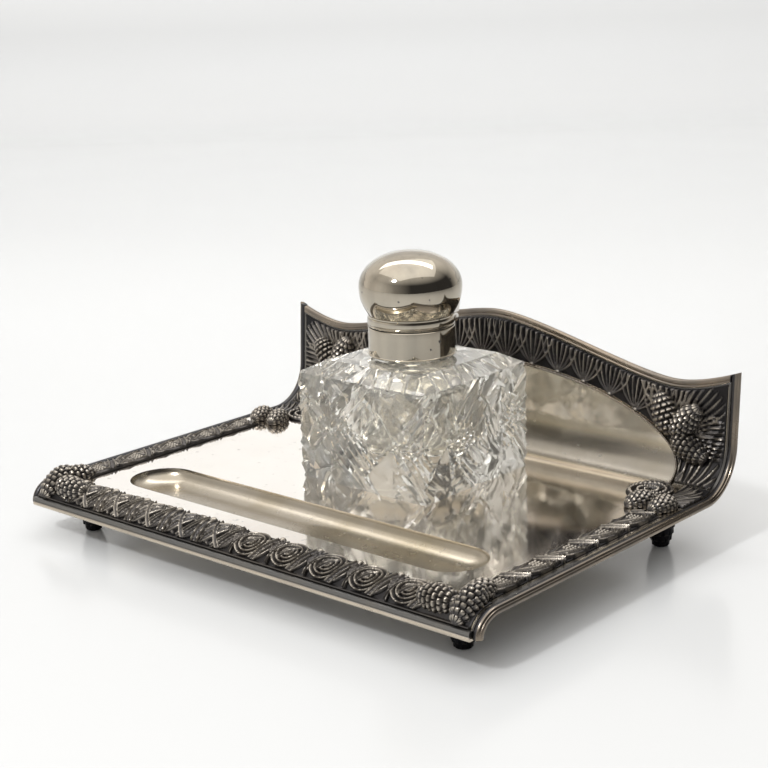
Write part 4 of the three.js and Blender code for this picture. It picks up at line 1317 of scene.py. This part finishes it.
class INKSTAND_OT_bottle(bpy.types.Operator):
    """Cut the glass bottle: mitres, stars, hatched diamonds, notched corners and a hollow"""

    bl_idname = "inkstand.bottle"
    bl_label = "Glass bottle"

    def cuts(self):
        """The star rays and mitres of one wall: root, tip, half width, and whether it tapers."""
        made = []
        for star in (-STAR, STAR):
            for degrees, long, width in RAYS:
                turn = math.radians(degrees)
                tip = (star + long * math.cos(turn), MID + long * math.sin(turn))
                made.append(((star, MID), tip, width, True))
        far = BOTTLE_HALF + 2
        rise = far / STAR * MID
        for sign in (-1, 1):
            for star in (-STAR, STAR):
                a, b = (star - far, MID - sign * rise), (star + far, MID + sign * rise)
                made.append((a, b, MITRE_WIDTH, False))
        return made

    def execute(self, context):
        depth = context.scene.inkstand_sizes.cut_depth / MM
        bpy.ops.object.select_all(action="DESELECT")
        bpy.ops.mesh.primitive_cube_add(size=1)
        body = name_it(bpy.context.object, "glass_bottle_cut")
        write(body, read(body) * MM * [2 * BOTTLE_HALF, 2 * BOTTLE_HALF, BOTTLE_BODY] + [0, 0, MID])
        bpy.ops.object.mode_set(mode="EDIT")
        bpy.ops.mesh.select_all(action="DESELECT")
        mesh = bmesh.from_edit_mesh(body.data)
        for edge in mesh.edges:
            a, b = edge.verts
            edge.select_set(abs(a.co.z - b.co.z) > 0.01)
        bmesh.update_edit_mesh(body.data)
        bpy.ops.mesh.bevel(offset=BOTTLE_CORNER * MM, segments=1, affect="EDGES")
        self.select(body, lambda face: face.normal.z > 0.9)
        shrink = (BOTTLE_HALF - SHOULDER_RUN) / BOTTLE_HALF
        rise = (SHOULDER_Z - BOTTLE_BODY) * MM
        bpy.ops.mesh.extrude_region_move(TRANSFORM_OT_translate={"value": (0, 0, rise)})
        bpy.ops.transform.resize(value=(shrink, shrink, 1))

        grooves = self.cuts()
        for axis in (0, 1):
            for groove in grooves:
                self.score(body, axis, *groove)
            self.hatch(body, axis)
        for z in NOTCHES:
            for at in (z - NOTCH, z, z + NOTCH):
                self.select(body, on_corner)
                bpy.ops.mesh.bisect(plane_co=(0, 0, at * MM), plane_no=(0, 0, 1))
        for axis in (0, 1):
            for low, high, width in SHOULDER_CUTS:
                for shift in (-width, 0, width):
                    co, no = self.plane(axis, (low + shift, BOTTLE_BODY), (high + shift, SHOULDER_Z))
                    self.select(body, lambda f: abs(f.normal[1 - axis]) > 0.3 and 0.3 < f.normal.z < 0.95)
                    bpy.ops.mesh.bisect(plane_co=co, plane_no=no)
        bpy.ops.object.mode_set(mode="OBJECT")
        self.sink(body, grooves, depth)

        neck = [(0, SHOULDER_Z - 2), (NECK_RADIUS, SHOULDER_Z - 2), (NECK_RADIUS, LIP_Z - 0.6)]
        neck += [(NECK_RADIUS - 0.6, LIP_Z), (0, LIP_Z)]
        inside, base, roof, round_off = BOTTLE_HALF - 12, 13.0, SHOULDER_Z - 6, 6.0
        quarter = np.linspace(0, math.pi / 2, 8)
        sines, cosines = round_off * np.sin(quarter), round_off * np.cos(quarter)
        centre = inside - round_off
        hollow = [(0, base), *zip(centre + sines, base + round_off - cosines)]
        hollow += [*zip(centre + cosines, roof - round_off + sines)]
        hollow += [(BORE_RADIUS + 1, roof), (BORE_RADIUS, roof + 1), (BORE_RADIUS, LIP_Z - 0.5)]
        hollow += [(BORE_RADIUS + 0.5, LIP_Z), (BORE_RADIUS + 0.5, LIP_Z + 2), (0, LIP_Z + 2)]
        for name, profile, kind in (("neck", neck, "UNION"), ("hollow", hollow, "DIFFERENCE")):
            tool = turned(name, profile, (0, 0, 0))
            apply(body, "BOOLEAN", operation=kind, object=tool, solver="EXACT")
            bpy.data.objects.remove(tool)
        set_down(body, Matrix.Translation((0, BOTTLE_Y, FIELD_TOP + 0.02)))
        smooth(body, 12)
        finish_piece(body, "cut_glass", "glass_bottle", "bottle")
        return {"FINISHED"}

    def select(self, obj, test):
        """Selects the faces that pass a test, and nothing else."""
        mesh = bmesh.from_edit_mesh(obj.data)
        for face in mesh.faces:
            face.select_set(False)
        chosen = [face for face in mesh.faces if test(face)]
        for face in chosen:
            face.select_set(True)
        bmesh.update_edit_mesh(obj.data, destructive=False)
        return len(chosen)

    def plane(self, axis, a, b):
        """A plane through two points of the walls that face across an axis."""
        da, dz = b[0] - a[0], b[1] - a[1]
        co, no = [0, 0, a[1] * MM], [0, 0, da]
        co[axis], no[axis] = a[0] * MM, -dz
        return co, no

    def cut(self, body, axis, a, b, low, high):
        """Splits the walls' faces that reach into a box along the line through two points."""

        def meets(face):
            if abs(face.normal[1 - axis]) < 0.9:
                return False
            u = [v.co[axis] / MM for v in face.verts]
            w = [v.co.z / MM for v in face.verts]
            before = min(u) < high[0] - TOUCH and min(w) < high[1] - TOUCH
            return before and max(u) > low[0] + TOUCH and max(w) > low[1] + TOUCH

        co, no = self.plane(axis, a, b)
        if self.select(body, meets):
            bpy.ops.mesh.bisect(plane_co=co, plane_no=no)

    def score(self, body, axis, root, tip, width, tapered):
        """Cuts a groove's middle and edges into two facing walls."""
        dx, dz = tip[0] - root[0], tip[1] - root[1]
        length = math.hypot(dx, dz)
        nx, nz = -dz / length * width, dx / length * width
        low = (min(root[0], tip[0]), min(root[1], tip[1]))
        high = (max(root[0], tip[0]), max(root[1], tip[1]))
        for sign in (0, -1, 1):
            a = (root[0] + sign * nx, root[1] + sign * nz)
            b = tip if tapered else (tip[0] + sign * nx, tip[1] + sign * nz)
            self.cut(body, axis, a, b, low, high)

    def hatch(self, body, axis):
        """Cuts the crossed fine lines of the middle diamond and of the side half diamonds."""
        for centre in FIELD_CENTRES:
            for k in range(-FIELD_CUTS, FIELD_CUTS + 1):
                for sign in (-1, 1):
                    shift = k / FIELD_CUTS * STAR
                    a, b = (centre + shift - STAR, MID), (centre + shift, MID + sign * MID)
                    low, high = (centre - HATCH_HALF, MID - STAR), (centre + HATCH_HALF, MID + STAR)
                    self.cut(body, axis, a, b, low, high)

    def sink(self, body, grooves, depth):
        """Moves the scored lines inward by the depth of their cuts."""
        points = read(body)
        lines = np.zeros(len(points))
        for axis in (0, 1):
            other = 1 - axis
            wall = np.abs(np.abs(points[:, other]) - BOTTLE_HALF) < 0.02
            u, w = points[:, axis], points[:, 2]
            drop, line = np.zeros(len(points)), np.zeros(len(points))
            for root, tip, width, tapered in grooves:
                dx, dz = tip[0] - root[0], tip[1] - root[1]
                length = math.hypot(dx, dz)
                t = ((u - root[0]) * dx + (w - root[1]) * dz) / length**2
                n = np.abs((w - root[1]) * dx - (u - root[0]) * dz) / length
                if tapered:
                    cut = np.where((t > -0.001) & (t < 1), 1 - unit(t) - n / width, 0)
                else:
                    cut = 1 - n / width
                    line = np.maximum(line, cut)
                drop = np.maximum(drop, depth * cut)
            for centre in FIELD_CENTRES:
                across, up = (u - centre) / STAR, (w - MID) / MID
                a, b = (across + up) * FIELD_CUTS / 2, (across - up) * FIELD_CUTS / 2
                field = np.abs(across) + np.abs(up) < 1.01
                saw = np.maximum(1 - 2 * np.abs(a - np.rint(a)), 1 - 2 * np.abs(b - np.rint(b)))
                drop = np.maximum(drop, np.where(field, saw * depth * 0.5, 0))
            points[wall, other] -= np.sign(points[wall, other]) * drop[wall]
            lines[wall] = line[wall]
        diagonal = np.abs(points[:, 0]) + np.abs(points[:, 1]) - (2 * BOTTLE_HALF - BOTTLE_CORNER)
        corner = (np.abs(diagonal) < 1.9) & (points[:, 2] < BOTTLE_BODY + 0.01)
        cut = np.zeros(len(points))
        for z in NOTCHES:
            cut = np.maximum(cut, NOTCH_DEPTH * (1 - np.abs(points[:, 2] - z) / NOTCH))
        for axis in (0, 1):
            points[corner, axis] -= np.sign(points[corner, axis]) * cut[corner] * 0.7
        slope = (points[:, 2] > BOTTLE_BODY - 0.01) & (points[:, 2] < SHOULDER_Z + 0.01)
        share = unit((points[:, 2] - BOTTLE_BODY) / (SHOULDER_Z - BOTTLE_BODY))
        drop = np.zeros(len(points))
        for axis in (0, 1):
            facing = np.abs(points[:, 1 - axis]) > np.abs(points[:, axis])
            for low, high, width in SHOULDER_CUTS:
                line = low + (high - low) * share
                cut = (1 - np.abs(points[:, axis] - line) / width) * (1 - 0.8 * share)
                drop = np.maximum(drop, np.where(facing, cut, 0))
        points[slope, 2] -= drop[slope]
        write(body, points)
        # These mitre lines also carry the glass's painted glow.
        attribute(body, "relief", lines)


class INKSTAND_OT_mounts(bpy.types.Operator):
    """Spin the collar, the lid's bezel and the ball, and finish the hinge and the plaster"""

    bl_idname = "inkstand.mounts"
    bl_label = "Collar and lid"

    def execute(self, context):
        centre = (0, BOTTLE_Y, FIELD_TOP)
        collar = turned(
            "collar_spun",
            [
                (17.2, COLLAR_Z), (17.9, COLLAR_Z), (18.25, COLLAR_Z + 0.15), (18.4, COLLAR_Z + 0.4),
                (18.25, COLLAR_Z + 0.65), (18.0, COLLAR_Z + 0.8), (17.97, COLLAR_Z + 3),
                (17.95, COLLAR_Z + 6), (17.97, COLLAR_Z + 9), (18.0, COLLAR_TOP_Z - 0.9),
                (17.95, COLLAR_TOP_Z - 0.3), (17.7, COLLAR_TOP_Z), (12.2, COLLAR_TOP_Z),
                (11.7, COLLAR_TOP_Z - 0.2), (11.5, COLLAR_TOP_Z - 0.8), (17.2, COLLAR_TOP_Z - 0.8),
            ],
            centre, 128,
        )
        finish_piece(smooth(collar, 32), "lid_silver", "collar", "bottle")
        bezel = turned(
            "lid_bezel_spun",
            [
                (14.8, BEZEL_Z), (17.6, BEZEL_Z), (17.9, BEZEL_Z + 0.15), (18.0, BEZEL_Z + 0.45),
                (17.9, BEZEL_Z + 0.75), (17.75, BEZEL_Z + 0.95), (17.9, BEZEL_Z + 1.15),
                (18.0, BEZEL_Z + 1.6), (17.98, BEZEL_Z + 2.6), (18.0, DOME_Z - 1.1),
                (17.85, DOME_Z - 0.7), (17.5, DOME_Z - 0.5), (17.5, DOME_Z), (14.8, DOME_Z),
            ],
            centre, 128,
        )
        finish_piece(smooth(bezel, 32), "lid_silver", "lid_bezel", "lid")

        def outline(grow, count=26):
            t = np.linspace(0, 1, count)
            foot = (DOME_WAIST + grow, DOME_Z)
            wide = (DOME_RADIUS + grow, DOME_Z + DOME_BELLY)
            top = (0, DOME_Z + DOME_HEIGHT + grow)
            bulge, rise = DOME_RADIUS * 0.56, (DOME_HEIGHT - DOME_BELLY) * 0.58
            r = bezier(foot[0], foot[0] + 1.8, wide[0], wide[0], t)
            z = bezier(foot[1], DOME_Z + 3, wide[1] - 5.5, wide[1], t)
            r = np.concatenate([r, bezier(wide[0], wide[0], bulge, 0, t)[1:]])
            z = np.concatenate([z, bezier(wide[1], wide[1] + rise, top[1], top[1], t)[1:]])
            return list(zip(r.tolist(), z.tolist()))

        shell = outline(0.0) + outline(-1.0)[::-1]
        dome = turned("lid_dome_spun", shell, centre, 128)
        finish_piece(smooth(dome, 40), "lid_silver", "lid_dome", "lid")
        for node in ("collar_hinge_leaf", "hinge_pin", "lid_hinge_leaf"):
            paint(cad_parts[node], "polished_silver")
        paint(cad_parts["cement_ring"], "plaster")
        return {"FINISHED"}


PIECES = (
    INKSTAND_OT_stage,
    INKSTAND_OT_tray,
    INKSTAND_OT_rims,
    INKSTAND_OT_borders,
    INKSTAND_OT_cones,
    INKSTAND_OT_feet,
    INKSTAND_OT_bottle,
    INKSTAND_OT_mounts,
)


class INKSTAND_PT_panel(bpy.types.Panel):
    """Sizes, colours and makers of the inkstand"""

    bl_label = "Inkstand"
    bl_idname = "INKSTAND_PT_panel"
    bl_space_type = "VIEW_3D"
    bl_region_type = "UI"
    bl_category = "Inkstand"

    def draw(self, context):
        for group in (context.scene.inkstand_sizes, context.scene.inkstand_colours):
            box = self.layout.box()
            for name in group.__annotations__:
                box.prop(group, name)
        for maker in PIECES:
            self.layout.operator(maker.bl_idname)


CLASSES = (InkstandSizes, InkstandColours, *PIECES, INKSTAND_PT_panel)


def register():
    for kind in CLASSES:
        bpy.utils.register_class(kind)
    bpy.types.Scene.inkstand_sizes = PointerProperty(type=InkstandSizes)
    bpy.types.Scene.inkstand_colours = PointerProperty(type=InkstandColours)


def unregister():
    del bpy.types.Scene.inkstand_sizes
    del bpy.types.Scene.inkstand_colours
    for kind in reversed(CLASSES):
        bpy.utils.unregister_class(kind)


def main():
    register()
    for maker in PIECES:
        group, name = maker.bl_idname.split(".")
        getattr(getattr(bpy.ops, group), name)()


if __name__ == "__main__":
    main()
